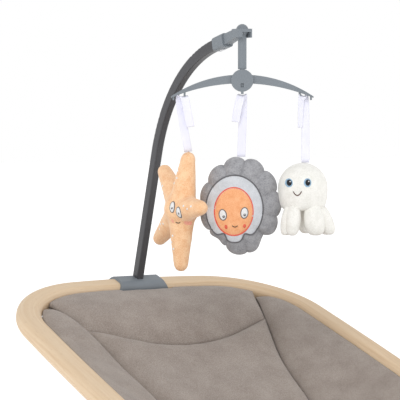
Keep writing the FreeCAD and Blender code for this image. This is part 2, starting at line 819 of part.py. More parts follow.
def make_jelly():
    dome = Part.makeSphere(jelly_radius, jelly_centre)
    tentacles = []
    for i in range(tentacle_count):
        angle = 2 * math.pi * i / tentacle_count
        outward = V(math.cos(angle), math.sin(angle), 0)
        start = jelly_centre + outward * tentacle_root + V(0, 0, -22)
        end = start + outward * tentacle_flare + V(0, 0, -tentacle_drop)
        tentacles.append(rod(tentacle_radius, start, end))
        tentacles.append(Part.makeSphere(tentacle_radius, end))
    export("jelly_toy", dome.fuse(tentacles).removeSplitter(), mobile_place)


# ---------------------------------------------------------------- floor loop

def make_floor_loop():
    z = tube_centre_height
    for name, end_y, sign in (("front_floor_tube", -loop_front, -1), ("rear_floor_tube", loop_rear, 1)):
        points = [V(loop_half_width, 0, z), V(loop_half_width, end_y, z),
                  V(-loop_half_width, end_y, z), V(-loop_half_width, 0, z)]
        export(name, bent_tube(points, loop_corner_radius))
    joiner = rod(tube_radius - tube_wall - 0.1, V(loop_half_width, -joiner_length / 2, z),
                 V(loop_half_width, joiner_length / 2, z))
    export("floor_tube_joiners", both_sides(joiner))
    for name, y in (("front_feet", -loop_front), ("rear_feet", loop_rear)):
        half = foot_length / 2
        pad = rounded_block(foot_spread - half, foot_spread + half, y - tube_radius - 3,
                            y + tube_radius + 3, 0, tube_centre_height + 4, 4, X_AXIS)
        hole = rod(tube_radius, V(foot_spread - 30, y, z), V(foot_spread + 30, y, z))
        mouth = block(foot_spread - 30, foot_spread + 30, y - tube_radius * 0.8,
                      y + tube_radius * 0.8, z, 60)
        export(name, both_sides(pad.cut(hole).cut(mouth)))


# ---------------------------------------------------------------- bounce and fold hinges

def bounce_point(x=loop_half_width):
    return V(x, bounce_y, bounce_z)


def fold_point(x=loop_half_width):
    rise = math.radians(arm_rise)
    return V(x, bounce_y + knuckle_length * math.cos(rise), bounce_z + knuckle_length * math.sin(rise))


def make_hinge_base():
    x = loop_half_width
    half = knuckle_width / 2 + side_clearance
    outer = half + ear_thickness
    low = tube_centre_height - tube_radius - 2
    top = tube_centre_height + tube_radius + 5
    base = rounded_block(x - outer, x + outer, bounce_y - hinge_base_length / 2,
                         bounce_y + hinge_base_length / 2, low, top, 4, Y_AXIS)
    for x0 in (x - outer, x + half):
        ear = x_disc(ear_radius, x0, x0 + ear_thickness, bounce_y, bounce_z)
        web = block(x0, x0 + ear_thickness, bounce_y - ear_radius, bounce_y + ear_radius,
                    tube_centre_height + tube_radius, bounce_z)
        base = base.fuse([ear, web])
    base = base.removeSplitter()
    base = base.cut(rod(tube_radius + running_clearance, V(x, bounce_y - 40, tube_centre_height),
                        V(x, bounce_y + 40, tube_centre_height)))
    base = base.cut(x_disc(pin_radius + running_clearance, x - 40, x + 40, bounce_y, bounce_z))
    export_pair("hinge_base", base)
    pin_end = x + outer + 9
    pin = x_disc(pin_radius, x - outer, pin_end, bounce_y, bounce_z)
    pin = pin.fuse(x_disc(pin_radius + 3, x - outer - 2, x - outer, bounce_y, bounce_z))
    export("bounce_pins", both_sides(pin.removeSplitter()))
    spring = x_disc(9, x + outer + 0.5, x + outer + 8.5, bounce_y, bounce_z)
    spring = spring.cut(x_disc(5.5, x + outer, x + outer + 9, bounce_y, bounce_z))
    export("bounce_springs", both_sides(spring))
    cap = x_disc(ear_radius, x + outer, x + outer + 12, bounce_y, bounce_z)
    cap = cap.cut(x_disc(ear_radius - 2, x + outer - 1, x + outer + 10, bounce_y, bounce_z))
    export("spring_caps", both_sides(cap))


def make_knuckle():
    x = loop_half_width
    hub = x_disc(ear_radius - 2, x - knuckle_width / 2, x + knuckle_width / 2, bounce_y, bounce_z)
    fold = fold_point(x)
    half = knuckle_plate / 2
    plate_end = x_disc(12, x - half, x + half, fold.y, fold.z)
    rise = math.radians(arm_rise)
    normal = V(0, -math.sin(rise), math.cos(rise)) * 11
    start = V(x - half, bounce_y, bounce_z)
    end = V(x - half, fold.y, fold.z)
    plate = prism([start + normal, end + normal, end - normal, start - normal], V(knuckle_plate, 0, 0))
    knuckle = hub.fuse([plate_end, plate]).removeSplitter()
    knuckle = knuckle.cut(x_disc(pin_radius + running_clearance, x - 40, x + 40, bounce_y, bounce_z))
    knuckle = knuckle.cut(x_disc(pin_radius + running_clearance, x - 40, x + 40, fold.y, fold.z))
    export_pair("knuckle", knuckle)


# ---------------------------------------------------------------- support arms

def hub_point(x=loop_half_width):
    return seat_place.multVec(V(x, hub_along, -hub_drop))


def arm_points(x):
    """Fold pivot, the bend's corner and the recline hub, in the arm's own plane."""
    fold = fold_point(x)
    hub = hub_point(x)
    rise = math.radians(arm_rise)
    arrive = math.radians(arm_arrival)
    dy = hub.y - fold.y
    dz = hub.z - fold.z
    det = math.cos(rise) * math.sin(arrive) - math.sin(rise) * math.cos(arrive)
    run = (dy * math.sin(arrive) - dz * math.cos(arrive)) / det
    corner = fold + V(0, math.cos(rise), math.sin(rise)) * run
    return fold, corner, hub


tube_start = 34.0
tube_stop = 30.0


def make_support_arm():
    fold, corner, hub = arm_points(loop_half_width)
    first = (corner - fold).normalize()
    last = (hub - corner).normalize()
    start = fold + first * tube_start
    stop = hub - last * tube_stop
    export_pair("support_arm", bent_tube([start, corner, stop], arm_bend_radius))

    x = loop_half_width
    inner = knuckle_plate / 2 + side_clearance
    outer = inner + 5.2
    up = V(0, -first.z, first.y)
    ears = []
    for x0, x1 in ((x - outer, x - inner), (x + inner, x + outer)):
        ears.append(x_disc(12, x0, x1, fold.y, fold.z))
        at = V(x0, fold.y, fold.z)
        ears.append(prism([at + up * 12, at + up * 12 + first * 24, at - up * 12 + first * 24,
                           at - up * 12], V(x1 - x0, 0, 0)))
    body_start = fold + first * 16
    sleeve = rod(tube_radius + 2.6, body_start, fold + first * (tube_start + 26))
    fitting = sleeve.fuse(ears).removeSplitter()
    fitting = fitting.cut(rod(tube_radius + running_clearance, start, start + first * 60))
    relief = x_disc(12.6, x - inner, x + inner, fold.y, fold.z)
    at = V(x - inner, fold.y, fold.z)
    relief = relief.fuse(prism([at + up * 20, at + up * 20 + first * 16, at - up * 20 + first * 16,
                                at - up * 20], V(2 * inner, 0, 0)))
    fitting = fitting.cut(relief)
    fitting = fitting.cut(x_disc(pin_radius + running_clearance, x - 40, x + 40, fold.y, fold.z))
    export_pair("arm_fork", fitting)
    pin = x_disc(pin_radius, x - outer, x + outer, fold.y, fold.z)
    pin = pin.fuse(x_disc(pin_radius + 2, x - outer - 1.8, x - outer, fold.y, fold.z))
    pin = pin.fuse(x_disc(pin_radius + 2, x + outer, x + outer + 1.8, fold.y, fold.z))
    export("fold_pins", both_sides(pin.removeSplitter()))


# ---------------------------------------------------------------- recline hubs

hub_outer_start = loop_half_width - hub_outer_thickness / 2
web_start = hub_outer_start + 6.0
web_end = web_start + hub_web


def leg_places(hub):
    places = []
    for i in range(3):
        angle = 2 * math.pi * i / 3 + 0.5
        places.append((hub.y + 11.3 * math.cos(angle), hub.z + 11.3 * math.sin(angle)))
    return places


def make_hub_outer():
    hub = hub_point()
    fold, corner, _ = arm_points(loop_half_width)
    along = (corner - hub).normalize()
    end = hub_outer_start + hub_outer_thickness
    disc = x_disc(hub_radius, hub_outer_start, end, hub.y, hub.z)
    side = V(0, -along.z, along.y) * 12.5
    at = V(hub_outer_start, hub.y, hub.z)
    reach = along * (hub_radius + 3)
    neck = prism([at + side, at + side + reach, at - side + reach, at - side],
                 V(hub_outer_thickness, 0, 0))
    socket = rod(tube_radius + 3, hub + along * (hub_radius + 1.5), hub + along * (hub_radius + 28))
    solid = disc.fuse([neck, socket]).removeSplitter()
    solid = solid.cut(rod(tube_radius + running_clearance, hub + along * tube_stop,
                          hub + along * (tube_stop + 60)))
    solid = solid.cut(x_disc(gear_radius + 0.5, hub_outer_start - 1, web_start, hub.y, hub.z))
    solid = solid.cut(x_disc(button_radius + 0.3, web_end, end + 1, hub.y, hub.z))
    solid = solid.cut(x_disc(pin_radius + running_clearance, web_start - 1, web_end + 1, hub.y, hub.z))
    for y, z in leg_places(hub):
        solid = solid.cut(x_disc(1.7, web_start - 1, web_end + 1, y, z))
    export_pair("hub_outer", solid)
    cover = x_disc(hub_radius, end, end + 2.2, hub.y, hub.z)
    cover = cover.cut(x_disc(button_radius + 0.3, end - 1, end + 3, hub.y, hub.z))
    export("hub_covers", both_sides(cover))


def make_hub_inner():
    """The seat's half of the hub, hung under the rim by a screwed flange."""
    local_hub_z = -hub_drop
    high_x = hub_outer_start - hub_gap
    low_x = high_x - hub_inner_thickness
    under_rim = -rim_thickness / 2
    disc = x_disc(hub_radius, low_x, high_x, hub_along, local_hub_z)
    flange_x = rim_half_width - rim_width / 2 + 0.5
    web = block(flange_x, high_x, hub_along - 20, hub_along + 20, local_hub_z, under_rim)
    flange = rounded_block(flange_x, rim_half_width + rim_width / 2, hub_along - 38, hub_along + 38,
                           under_rim - flange_thickness, under_rim, 7, Z_AXIS)
    solid = disc.fuse([web, flange]).removeSplitter()
    recess_low = high_x - gear_thickness - 1.1
    solid = solid.cut(x_disc(gear_radius + 0.4, recess_low, high_x + 1, hub_along, local_hub_z))
    solid = solid.cut(x_disc(pin_radius + running_clearance, low_x - 1, high_x, hub_along, local_hub_z))
    screws = []
    for along in bracket_screw_places():
        low = V(rim_half_width, along, under_rim - flange_thickness)
        solid = solid.cut(rod(screw_radius + socket_clearance, low - V(0, 0, 1), low + V(0, 0, 20)))
        shank = rod(screw_radius, low, V(rim_half_width, along, 2))
        head = rod(screw_head_radius, low - V(0, 0, screw_head_height), low)
        screws.append(shank.fuse(head).removeSplitter())
    export_pair("hub_inner", solid, seat_place)
    export("bracket_screws", both_sides(Part.makeCompound(screws)), seat_place)

    axle_end = web_end + 3.5
    axle = x_disc(pin_radius, low_x, axle_end, hub_along, local_hub_z)
    axle = axle.fuse(x_disc(pin_radius + 3, low_x - 2, low_x, hub_along, local_hub_z))
    axle = axle.fuse(x_disc(pin_radius + 2, web_end + 0.2, web_end + 1.6, hub_along, local_hub_z))
    export("hub_axles", both_sides(axle.removeSplitter()), seat_place)


def make_recline_buttons():
    hub = hub_point()
    gear_low = hub_outer_start - hub_gap - 3.8
    gear_high = gear_low + gear_thickness
    gear = x_disc(gear_radius - 2, gear_low, gear_high, hub.y, hub.z)
    teeth = []
    for i in range(gear_teeth):
        tooth = block(gear_low, gear_high, hub.y - 1.6, hub.y + 1.6, hub.z + gear_radius - 4,
                      hub.z + gear_radius - 0.3)
        tooth.rotate(hub, X_AXIS, 360.0 * i / gear_teeth)
        teeth.append(tooth)
    gear = gear.fuse(teeth).removeSplitter()
    gear = gear.cut(x_disc(pin_radius + 0.3, gear_low - 1, gear_high + 1, hub.y, hub.z))
    export_pair("lock_gear", gear)
    body_low = web_end + button_travel + 0.6
    top = hub_outer_start + hub_outer_thickness + 2.2 + button_proud
    body = x_disc(button_radius, body_low, top, hub.y, hub.z)
    rim = [e for e in body.Edges if abs(e.BoundBox.Center.x - top) < 1e-6]
    body = body.makeFillet(2.0, rim)
    body = body.cut(x_disc(8.0, body_low - 1, body_low + 4.5, hub.y, hub.z))
    legs = [x_disc(1.4, gear_high, body_low, y, z) for y, z in leg_places(hub)]
    export_pair("recline_button", body.fuse(legs).removeSplitter())


def main():
    os.makedirs("parts", exist_ok=True)
    make_rim()
    make_cover_rail()
    make_fabric()
    make_harness()
    make_clamp()
    make_toy_arm()
    make_arm_tip()
    make_hanging_rod()
    make_crossbar()
    make_mobile_hub()
    make_ribbons()
    make_star()
    make_shell()
    make_jelly()
    make_floor_loop()
    make_hinge_base()
    make_knuckle()
    make_support_arm()
    make_hub_outer()
    make_hub_inner()
    make_recline_buttons()


main()
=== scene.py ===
"""Looks of the bouncer seat: a padded seat in a bentwood rim, with a plush mobile on a curved arm."""
import json
import math
import bpy
import bmesh
from mathutils import Matrix, Vector, noise
from mathutils.bvhtree import BVHTree


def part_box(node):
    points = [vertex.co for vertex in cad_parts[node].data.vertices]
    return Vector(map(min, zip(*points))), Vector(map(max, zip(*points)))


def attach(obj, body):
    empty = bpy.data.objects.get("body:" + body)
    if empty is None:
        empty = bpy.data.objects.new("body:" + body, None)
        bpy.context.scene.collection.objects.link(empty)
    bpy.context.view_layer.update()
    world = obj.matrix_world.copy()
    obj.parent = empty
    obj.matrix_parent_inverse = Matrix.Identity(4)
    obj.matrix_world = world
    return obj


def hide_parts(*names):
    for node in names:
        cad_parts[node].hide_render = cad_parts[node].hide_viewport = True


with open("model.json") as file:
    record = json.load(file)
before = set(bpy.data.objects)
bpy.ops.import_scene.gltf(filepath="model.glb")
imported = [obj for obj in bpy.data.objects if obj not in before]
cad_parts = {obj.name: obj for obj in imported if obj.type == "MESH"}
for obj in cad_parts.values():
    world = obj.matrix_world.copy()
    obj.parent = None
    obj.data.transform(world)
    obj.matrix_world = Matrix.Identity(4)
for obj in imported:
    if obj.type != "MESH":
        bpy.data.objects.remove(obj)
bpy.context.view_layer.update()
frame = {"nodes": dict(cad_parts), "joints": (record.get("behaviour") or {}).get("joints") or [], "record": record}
nodes = frame["nodes"]
joints = {joint["name"]: joint for joint in frame["joints"]}

# ---- places taken from the frame ----
SEAT_UP = Vector(joints["toy_arm_lift"]["axis"])
SEAT_TILT = math.atan2(-SEAT_UP.y, SEAT_UP.z)
rim_low, rim_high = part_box("rim_left")
rim_low_right, rim_high_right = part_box("rim_right")
RIM_CENTRE = (Vector(map(min, rim_low, rim_low_right)) + Vector(map(max, rim_high, rim_high_right))) / 2
SEAT = Matrix.Translation(RIM_CENTRE) @ Matrix.Rotation(SEAT_TILT, 4, "X")
BAR_DIRECTION = Vector(joints["shell_swing"]["axis"])
MOBILE = (Matrix.Translation(joints["mobile_spin"]["pos_m"])
          @ Matrix.Rotation(math.atan2(BAR_DIRECTION.y, BAR_DIRECTION.x), 4, "Z"))

# ---- rim and bowl ----
RIM_HALF_WIDTH = 0.210
RIM_HALF_LENGTH = 0.365
RIM_CORNER_RADIUS = 0.120
RIM_END_RADIUS = 1.150
RIM_SIDE_RADIUS = 6.0
RIM_WIDTH = 0.032
BOWL_PROFILE = [(-0.349, 0.0), (-0.300, 0.022), (-0.220, 0.062), (-0.150, 0.084), (-0.090, 0.090),
                (-0.020, 0.080), (0.040, 0.064), (0.100, 0.050), (0.160, 0.0415), (0.190, 0.0335),
                (0.220, 0.0215), (0.250, 0.0105), (0.285, 0.002), (0.320, 0.0), (0.349, 0.0)]
BOWL_ACROSS_POWER = 2.8
EDGE_DROP = 0.003
FABRIC_GAP = 0.0006
PAD_THICKNESS = 0.018
SEAM_SPREAD = 0.098
SEAM_END_SPREAD = 0.150
SEAM_END = 0.300
HEAD_SEAM_ALONG = 0.219
HEAD_SEAM_SPREAD = 0.133
HEAD_SEAM_SAG = 0.033
HEAD_SEAM_END = HEAD_SEAM_ALONG + HEAD_SEAM_SAG
LEG_SEAM = -0.150


# ---------------------------------------------------------------- camera, stage and light

def make_camera():
    azimuth = math.radians(-30.9)
    elevation = math.radians(2.5)
    distance = 2.4
    aim_right = 0.0835
    aim_up = 0.1173
    right = Vector((math.cos(azimuth), math.sin(azimuth), 0))
    back = Vector((math.sin(azimuth) * math.cos(elevation), -math.cos(azimuth) * math.cos(elevation),
                   math.sin(elevation)))
    up = back.cross(right)
    head = SEAT @ Vector((0, RIM_HALF_LENGTH, 0))
    camera = bpy.data.objects.new("camera", bpy.data.cameras.new("camera"))
    camera.data.lens = 161.4
    camera.data.sensor_width = 36.0
    camera.data.clip_end = 60.0
    turn = Matrix((right, up, back)).transposed().to_4x4()
    place = head + right * aim_right + up * aim_up + back * distance
    camera.matrix_world = Matrix.Translation(place) @ turn
    bpy.context.scene.collection.objects.link(camera)
    bpy.context.scene.camera = camera


def add_area_light(name, place, target, size, power, colour=(1, 1, 1)):
    data = bpy.data.lights.new(name, "AREA")
    data.shape = "DISK"
    data.size = size
    data.energy = power
    data.color = colour
    light = bpy.data.objects.new(name, data)
    direction = Vector(target) - Vector(place)
    light.rotation_euler = direction.to_track_quat("-Z", "Y").to_euler()
    light.location = place
    bpy.context.scene.collection.objects.link(light)


def make_stage():
    mesh = bpy.data.meshes.new("floor")
    bm = bmesh.new()
    bmesh.ops.create_grid(bm, x_segments=1, y_segments=1, size=25.0)
    bm.to_mesh(mesh)
    bm.free()
    floor = bpy.data.objects.new("floor", mesh)
    floor.location.z = -0.0005
    bpy.context.scene.collection.objects.link(floor)
    paper = Finish("white_paper", Roughness=0.9)
    paper.shader.inputs["Base Color"].default_value = (0.86, 0.86, 0.86, 1)
    paper.shader.inputs["Emission Color"].default_value = (1, 1, 1, 1)
    paper.shader.inputs["Emission Strength"].default_value = 0.55
    floor.data.materials.append(paper.material)
    world = bpy.data.worlds.new("studio")
    bpy.context.scene.world = world
    world.use_nodes = True
    sky = world.node_tree.nodes["Background"]
    sky.inputs["Color"].default_value = (1, 1, 1, 1)
    ray = world.node_tree.nodes.new("ShaderNodeLightPath")
    level = world.node_tree.nodes.new("ShaderNodeMapRange")
    level.inputs["To Min"].default_value = 0.74
    level.inputs["To Max"].default_value = 1.0
    world.node_tree.links.new(ray.outputs["Is Camera Ray"], level.inputs["Value"])
    world.node_tree.links.new(level.outputs["Result"], sky.inputs["Strength"])
    bpy.context.scene.view_settings.view_transform = "Standard"
    add_area_light("key", (-1.6, -1.4, 2.4), (0, 0.1, 0.45), 1.4, 20)
    add_area_light("fill", (1.8, -1.2, 1.6), (0, 0.1, 0.45), 1.6, 6)


# ---------------------------------------------------------------- shader kit

class Value:
    """A shader socket that can be used in arithmetic."""

    def __init__(self, finish, socket):
        self.finish = finish
        self.socket = socket

    def _math(self, operation, first, second=0.0):
        return self.finish.node("ShaderNodeMath", {"operation": operation}, {0: first, 1: second})

    def __add__(self, other):
        return self._math("ADD", self, other)

    def __sub__(self, other):
        return self._math("SUBTRACT", self, other)

    def __mul__(self, other):
        return self._math("MULTIPLY", self, other)

    def __pow__(self, other):
        return self._math("POWER", self, other)

    __radd__ = __add__

    def most(self, other):
        return self._math("MAXIMUM", self, other)

    def least(self, other):
        return self._math("MINIMUM", self, other)

    def size(self):
        return self._math("ABSOLUTE", self)

    def sine(self):
        return self._math("SINE", self)

    def step(self, low, high):
        """Nought below one limit, one above the other, and smooth between."""
        settings = {"interpolation_type": "SMOOTHSTEP"}
        limits = {"Value": self, "From Min": low, "From Max": high}
        return self.finish.node("ShaderNodeMapRange", settings, limits)


class Finish:
    """One material: its nodes, and the shader that they feed."""

    def __init__(self, name, **constants):
        self.material = bpy.data.materials.new(name)
        self.material.use_nodes = True
        self.tree = self.material.node_tree
        self.tree.nodes.clear()
        self.shader = self.tree.nodes.new("ShaderNodeBsdfPrincipled")
        output = self.tree.nodes.new("ShaderNodeOutputMaterial")
        self.tree.links.new(self.shader.outputs[0], output.inputs["Surface"])
        for name_part, value in constants.items():
            self.shader.inputs[name_part.replace("_", " ")].default_value = value

    def node(self, kind, settings=None, inputs=None, output=0):
        made = self.tree.nodes.new(kind)
        for key, value in (settings or {}).items():
            if key == "stops":
                ramp = made.color_ramp
                while len(ramp.elements) < len(value):
                    ramp.elements.new(0.5)
                for element, (position, colour) in zip(ramp.elements, value):
                    element.position = position
                    element.color = (*colour, 1)
            else:
                setattr(made, key, value)
        for key, value in (inputs or {}).items():
            self.feed(made.inputs[key], value)
        return Value(self, made.outputs[output])

    def feed(self, socket, value):
        if isinstance(value, Value):
            self.tree.links.new(value.socket, socket)
        elif isinstance(value, (tuple, Vector)) and len(value) == 3 and socket.type == "RGBA":
            socket.default_value = (*value, 1)
        else:
            socket.default_value = value

    def set(self, **channels):
        for name_part, value in channels.items():
            self.feed(self.shader.inputs[name_part.replace("_", " ")], value)
        return self.material

    def place(self, scale=(1, 1, 1), shift=(0, 0, 0)):
        """A place on the piece, in its own coordinates."""
        point = self.node("ShaderNodeTexCoord", output="Object")
        moved = {"Vector": point, "Scale": scale, "Location": shift}
        return self.node("ShaderNodeMapping", {"vector_type": "POINT"}, moved)

    def noise(self, vector, scale, detail=2.0, roughness=0.5):
        return self.node("ShaderNodeTexNoise", None,
                         {"Vector": vector, "Scale": scale, "Detail": detail, "Roughness": roughness})

    def parts(self, vector):
        """The three components of a vector."""
        made = self.tree.nodes.new("ShaderNodeSeparateXYZ")
        self.feed(made.inputs[0], vector)
        return [Value(self, socket) for socket in made.outputs]

    def join(self, x, y, z):
        return self.node("ShaderNodeCombineXYZ", None, {0: x, 1: y, 2: z})

    def mix(self, share, first, second):
        made = self.tree.nodes.new("ShaderNodeMix")
        made.data_type = "RGBA"
        for key, value in ((0, share), (6, first), (7, second)):
            self.feed(made.inputs[key], value)
        return Value(self, made.outputs[2])

    def bump(self, height, distance, strength=1.0):
        return self.node("ShaderNodeBump", None,
                         {"Height": height, "Distance": distance, "Strength": strength})


# ---------------------------------------------------------------- finishes

def beech():
    """Bent beech: fine grain that runs round the rim, with short flecks and a satin lacquer."""
    wood = Finish("beech", Coat_Weight=0.15, Coat_Roughness=0.35)
    point = wood.place(shift=tuple(-RIM_CENTRE))
    flat = wood.node("ShaderNodeVectorRotate", {"rotation_type": "X_AXIS"},
                     {"Vector": point, "Angle": -SEAT_TILT})
    x, y, z = wood.parts(flat)
    ax = x.size() - (RIM_HALF_WIDTH - RIM_CORNER_RADIUS)
    ay = y.size() - (RIM_HALF_LENGTH - RIM_CORNER_RADIUS)
    outside = ((ax.most(0.0)) ** 2.0 + (ay.most(0.0)) ** 2.0) ** 0.5
    across = outside + ax.most(ay).least(0.0)
    along = wood.node("ShaderNodeMath", {"operation": "ARCTAN2"}, {0: y, 1: x}) * 0.3
    grain_place = wood.join(across * 260.0, z * 260.0, along * 7.0)
    lines = wood.noise(grain_place, 1.0, 6.0, 0.62)
    broad = wood.noise(wood.join(across * 40.0, z * 40.0, along * 2.2), 1.0, 3.0)
    flecks = wood.noise(wood.join(across * 900.0, z * 900.0, along * 130.0), 1.0, 1.0)
    fleck = flecks.step(0.60, 0.72)
    tone = lines * 0.62 + broad * 0.38
    stops = [(0.28, (0.58, 0.40, 0.235)), (0.47, (0.72, 0.535, 0.345)), (0.70, (0.80, 0.635, 0.45))]
    colour = wood.node("ShaderNodeValToRGB", {"stops": stops}, {"Fac": tone})
    colour = wood.mix(fleck * 0.22, colour, (0.50, 0.33, 0.19))
    height = lines * 0.5 - fleck * 0.3
    return wood.set(Base_Color=colour, Roughness=0.44 + lines * 0.16,
                    Normal=wood.bump(height, 0.0004, 0.35))


def moulded(name, colour):
    """Moulded plastic with a fine texture and slightly uneven gloss."""
    plastic = Finish(name)
    point = plastic.place()
    fine = plastic.noise(point, 900.0, 2.0)
    broad = plastic.noise(point, 22.0, 2.0)
    light = tuple(min(1.0, c * 1.12) for c in colour)
    dark = tuple(c * 0.90 for c in colour)
    return plastic.set(Base_Color=plastic.mix(broad, dark, light), Roughness=0.42 + broad * 0.10,
                       Normal=plastic.bump(fine, 0.00012, 0.30))


def powder_coat(name, colour):
    """Satin powder coat on steel, with its fine orange peel."""
    coat = Finish(name)
    point = coat.place()
    peel = coat.noise(point, 1500.0, 2.0)
    cloud = coat.noise(point, 14.0, 2.0)
    light = tuple(min(1.0, c * 1.15) for c in colour)
    return coat.set(Base_Color=coat.mix(cloud, colour, light), Metallic=0.25,
                    Roughness=0.36 + peel * 0.12, Normal=coat.bump(peel, 0.00010, 0.30))


def zinc():
    """Bright zinc plate with fine turning marks."""
    metal = Finish("zinc_plate")
    point = metal.place()
    marks = metal.noise(metal.place(scale=(1, 1, 14)), 220.0, 3.0)
    cloud = metal.noise(point, 60.0, 2.0)
    colour = metal.mix(cloud, (0.52, 0.53, 0.55), (0.70, 0.71, 0.72))
    return metal.set(Base_Color=colour, Metallic=0.95, Roughness=0.26 + marks * 0.18,
                     Normal=metal.bump(marks, 0.00006, 0.4))


def rubber():
    """Matt rubber with a fine grain."""
    grip = Finish("foot_rubber")
    fine = grip.noise(grip.place(), 1300.0, 3.0)
    return grip.set(Base_Color=grip.mix(fine, (0.035, 0.035, 0.038), (0.07, 0.07, 0.075)),
                    Roughness=0.72 + fine * 0.15, Normal=grip.bump(fine, 0.0002, 0.4))


def heather_jersey(name, dark, light):
    """Heathered brushed jersey: mixed light and dark fibres over a fine knit."""
    cloth = Finish(name, Sheen_Weight=0.18, Sheen_Roughness=0.5, Specular_IOR_Level=0.25)
    fibres = cloth.noise(cloth.place(scale=(1.0, 2.6, 2.6)), 620.0, 3.0, 0.7)
    speckle = cloth.noise(cloth.place(), 1500.0, 2.0, 0.6)
    cloud = cloth.noise(cloth.place(), 34.0, 4.0, 0.6)
    mixed = fibres * 0.55 + speckle * 0.25 + cloud * 0.20
    colour = cloth.mix(mixed.step(0.36, 0.64), dark, light)
    height = fibres * 0.6 + speckle * 0.4
    return cloth.set(Base_Color=colour, Roughness=0.86 + speckle * 0.1,
                     Normal=cloth.bump(height, 0.0007, 0.42))


def plain_weave(name, dark, light, pitch=1100.0):
    """Woven cloth: warp and weft threads that pass over and under."""
    cloth = Finish(name, Sheen_Weight=0.1, Specular_IOR_Level=0.25)
    x, y, z = cloth.parts(cloth.place())
    warp = (x * pitch * 2.4).sine()
    weft = ((y + z) * pitch * 1.7).sine()
    over = warp * weft
    fuzz = cloth.noise(cloth.place(), 900.0, 2.0)
    tone = over * 0.25 + 0.5 + (fuzz - 0.5) * 0.8
    return cloth.set(Base_Color=cloth.mix(tone.step(0.1, 0.9), dark, light), Roughness=0.8 + fuzz * 0.12,
                     Normal=cloth.bump(tone, 0.0005, 0.4))


def plush(name, dark, light):
    """Short dense pile, with tufts that lie in slightly different directions."""
    pile = Finish(name, Sheen_Weight=0.35, Sheen_Roughness=0.45, Specular_IOR_Level=0.2)
    point = pile.place()
    tufts = pile.noise(point, 750.0, 3.0, 0.65)
    patches = pile.noise(point, 120.0, 3.0, 0.6)
    mixed = tufts * 0.55 + patches * 0.45
    return pile.set(Base_Color=pile.mix(mixed.step(0.32, 0.66), dark, light), Roughness=0.9 + tufts * 0.08,
                    Normal=pile.bump(mixed, 0.0012, 0.45))


def satin_ribbon():
    """Woven satin: fine lengthwise floats with a soft shine."""
    ribbon = Finish("satin_ribbon", Sheen_Weight=0.2, Anisotropic=0.4)
    floats = ribbon.noise(ribbon.place(scale=(1, 1, 0.06)), 2600.0, 2.0)
    cloud = ribbon.noise(ribbon.place(), 60.0, 2.0)
    colour = ribbon.mix(cloud, (0.78, 0.78, 0.93), (0.90, 0.90, 0.97))
    return ribbon.set(Base_Color=colour, Roughness=0.34 + floats * 0.2,
                      Normal=ribbon.bump(floats, 0.00015, 0.5))


# what the frame's material slots are made of
FINISHES = {
    "beech_wood": beech(),
    "grey_tube": powder_coat("grey_tube", (0.060, 0.062, 0.068)),
    "arm_bar": powder_coat("arm_bar", (0.070, 0.070, 0.076)),
    "zinc_steel": zinc(),
    "rubber_foot": rubber(),
    "dark_plastic": moulded("dark_plastic", (0.035, 0.037, 0.040)),
    "blue_grey_plastic": moulded("blue_grey_plastic", (0.20, 0.225, 0.25)),
    "charcoal_plastic": moulded("charcoal_plastic", (0.025, 0.025, 0.028)),
    "seat_fabric": heather_jersey("seat_jersey", (0.25, 0.205, 0.178), (0.44, 0.385, 0.345)),
    "shell_fabric": plain_weave("shell_weave", (0.16, 0.135, 0.12), (0.27, 0.235, 0.21)),
    "webbing": plain_weave("strap_webbing", (0.055, 0.05, 0.048), (0.13, 0.12, 0.115), 700.0),
    "ribbon": satin_ribbon(),
    "peach_plush": plush("peach_plush", (0.83, 0.46, 0.24), (0.97, 0.67, 0.42)),
    "grey_plush": plush("grey_plush", (0.24, 0.24, 0.255), (0.42, 0.42, 0.44)),
    "orange_plush": plush("orange_plush", (0.85, 0.36, 0.16), (0.96, 0.52, 0.28)),
    "white_plush": plush("white_plush", (0.80, 0.79, 0.74), (0.94, 0.93, 0.89)),
}

# threads and lining that only the toys' drawings use
EXTRAS = {
    "grey_thread": plain_weave("grey_thread", (0.10, 0.10, 0.11), (0.20, 0.20, 0.21), 2600.0),
    "dark_thread": plain_weave("dark_thread", (0.012, 0.012, 0.014), (0.035, 0.035, 0.04), 2600.0),
    "brown_thread": plain_weave("brown_thread", (0.07, 0.035, 0.02), (0.14, 0.07, 0.045), 2600.0),
    "white_thread": plain_weave("white_thread", (0.72, 0.72, 0.72), (0.92, 0.92, 0.92), 2600.0),
    "pink_thread": plain_weave("pink_thread", (0.86, 0.36, 0.26), (0.93, 0.48, 0.36), 2600.0),
    "red_thread": plain_weave("red_thread", (0.72, 0.10, 0.06), (0.88, 0.20, 0.13), 2600.0),
    "blue_thread": plain_weave("blue_thread", (0.24, 0.40, 0.56), (0.40, 0.58, 0.74), 2600.0),
    "lining_satin": plush("lining_satin", (0.55, 0.57, 0.60), (0.68, 0.70, 0.74)),
}

for part in frame["record"]["subparts"]:
    carried = nodes[part["node"]]
    carried.data.materials.clear()
    carried.data.materials.append(FINISHES[part["material_slot"]])

# ---------------------------------------------------------------- mesh kit

def new_piece(name, bm, finish, body, stands_for=()):
    """A closed mesh that rides a body and may stand for some of its CAD nodes."""
    bmesh.ops.recalc_face_normals(bm, faces=bm.faces)
    mesh = bpy.data.meshes.new(name)
    bm.to_mesh(mesh)
    bm.free()
    mesh.polygons.foreach_set("use_smooth", [True] * len(mesh.polygons))
    slot_name = finish if finish in FINISHES else None
    mesh.materials.append(FINISHES[slot_name] if slot_name else EXTRAS[finish])
    piece = bpy.data.objects.new(name, mesh)
    bpy.context.scene.collection.objects.link(piece)
    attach(piece, body)
    if stands_for:
        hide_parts(*stands_for)
    return piece


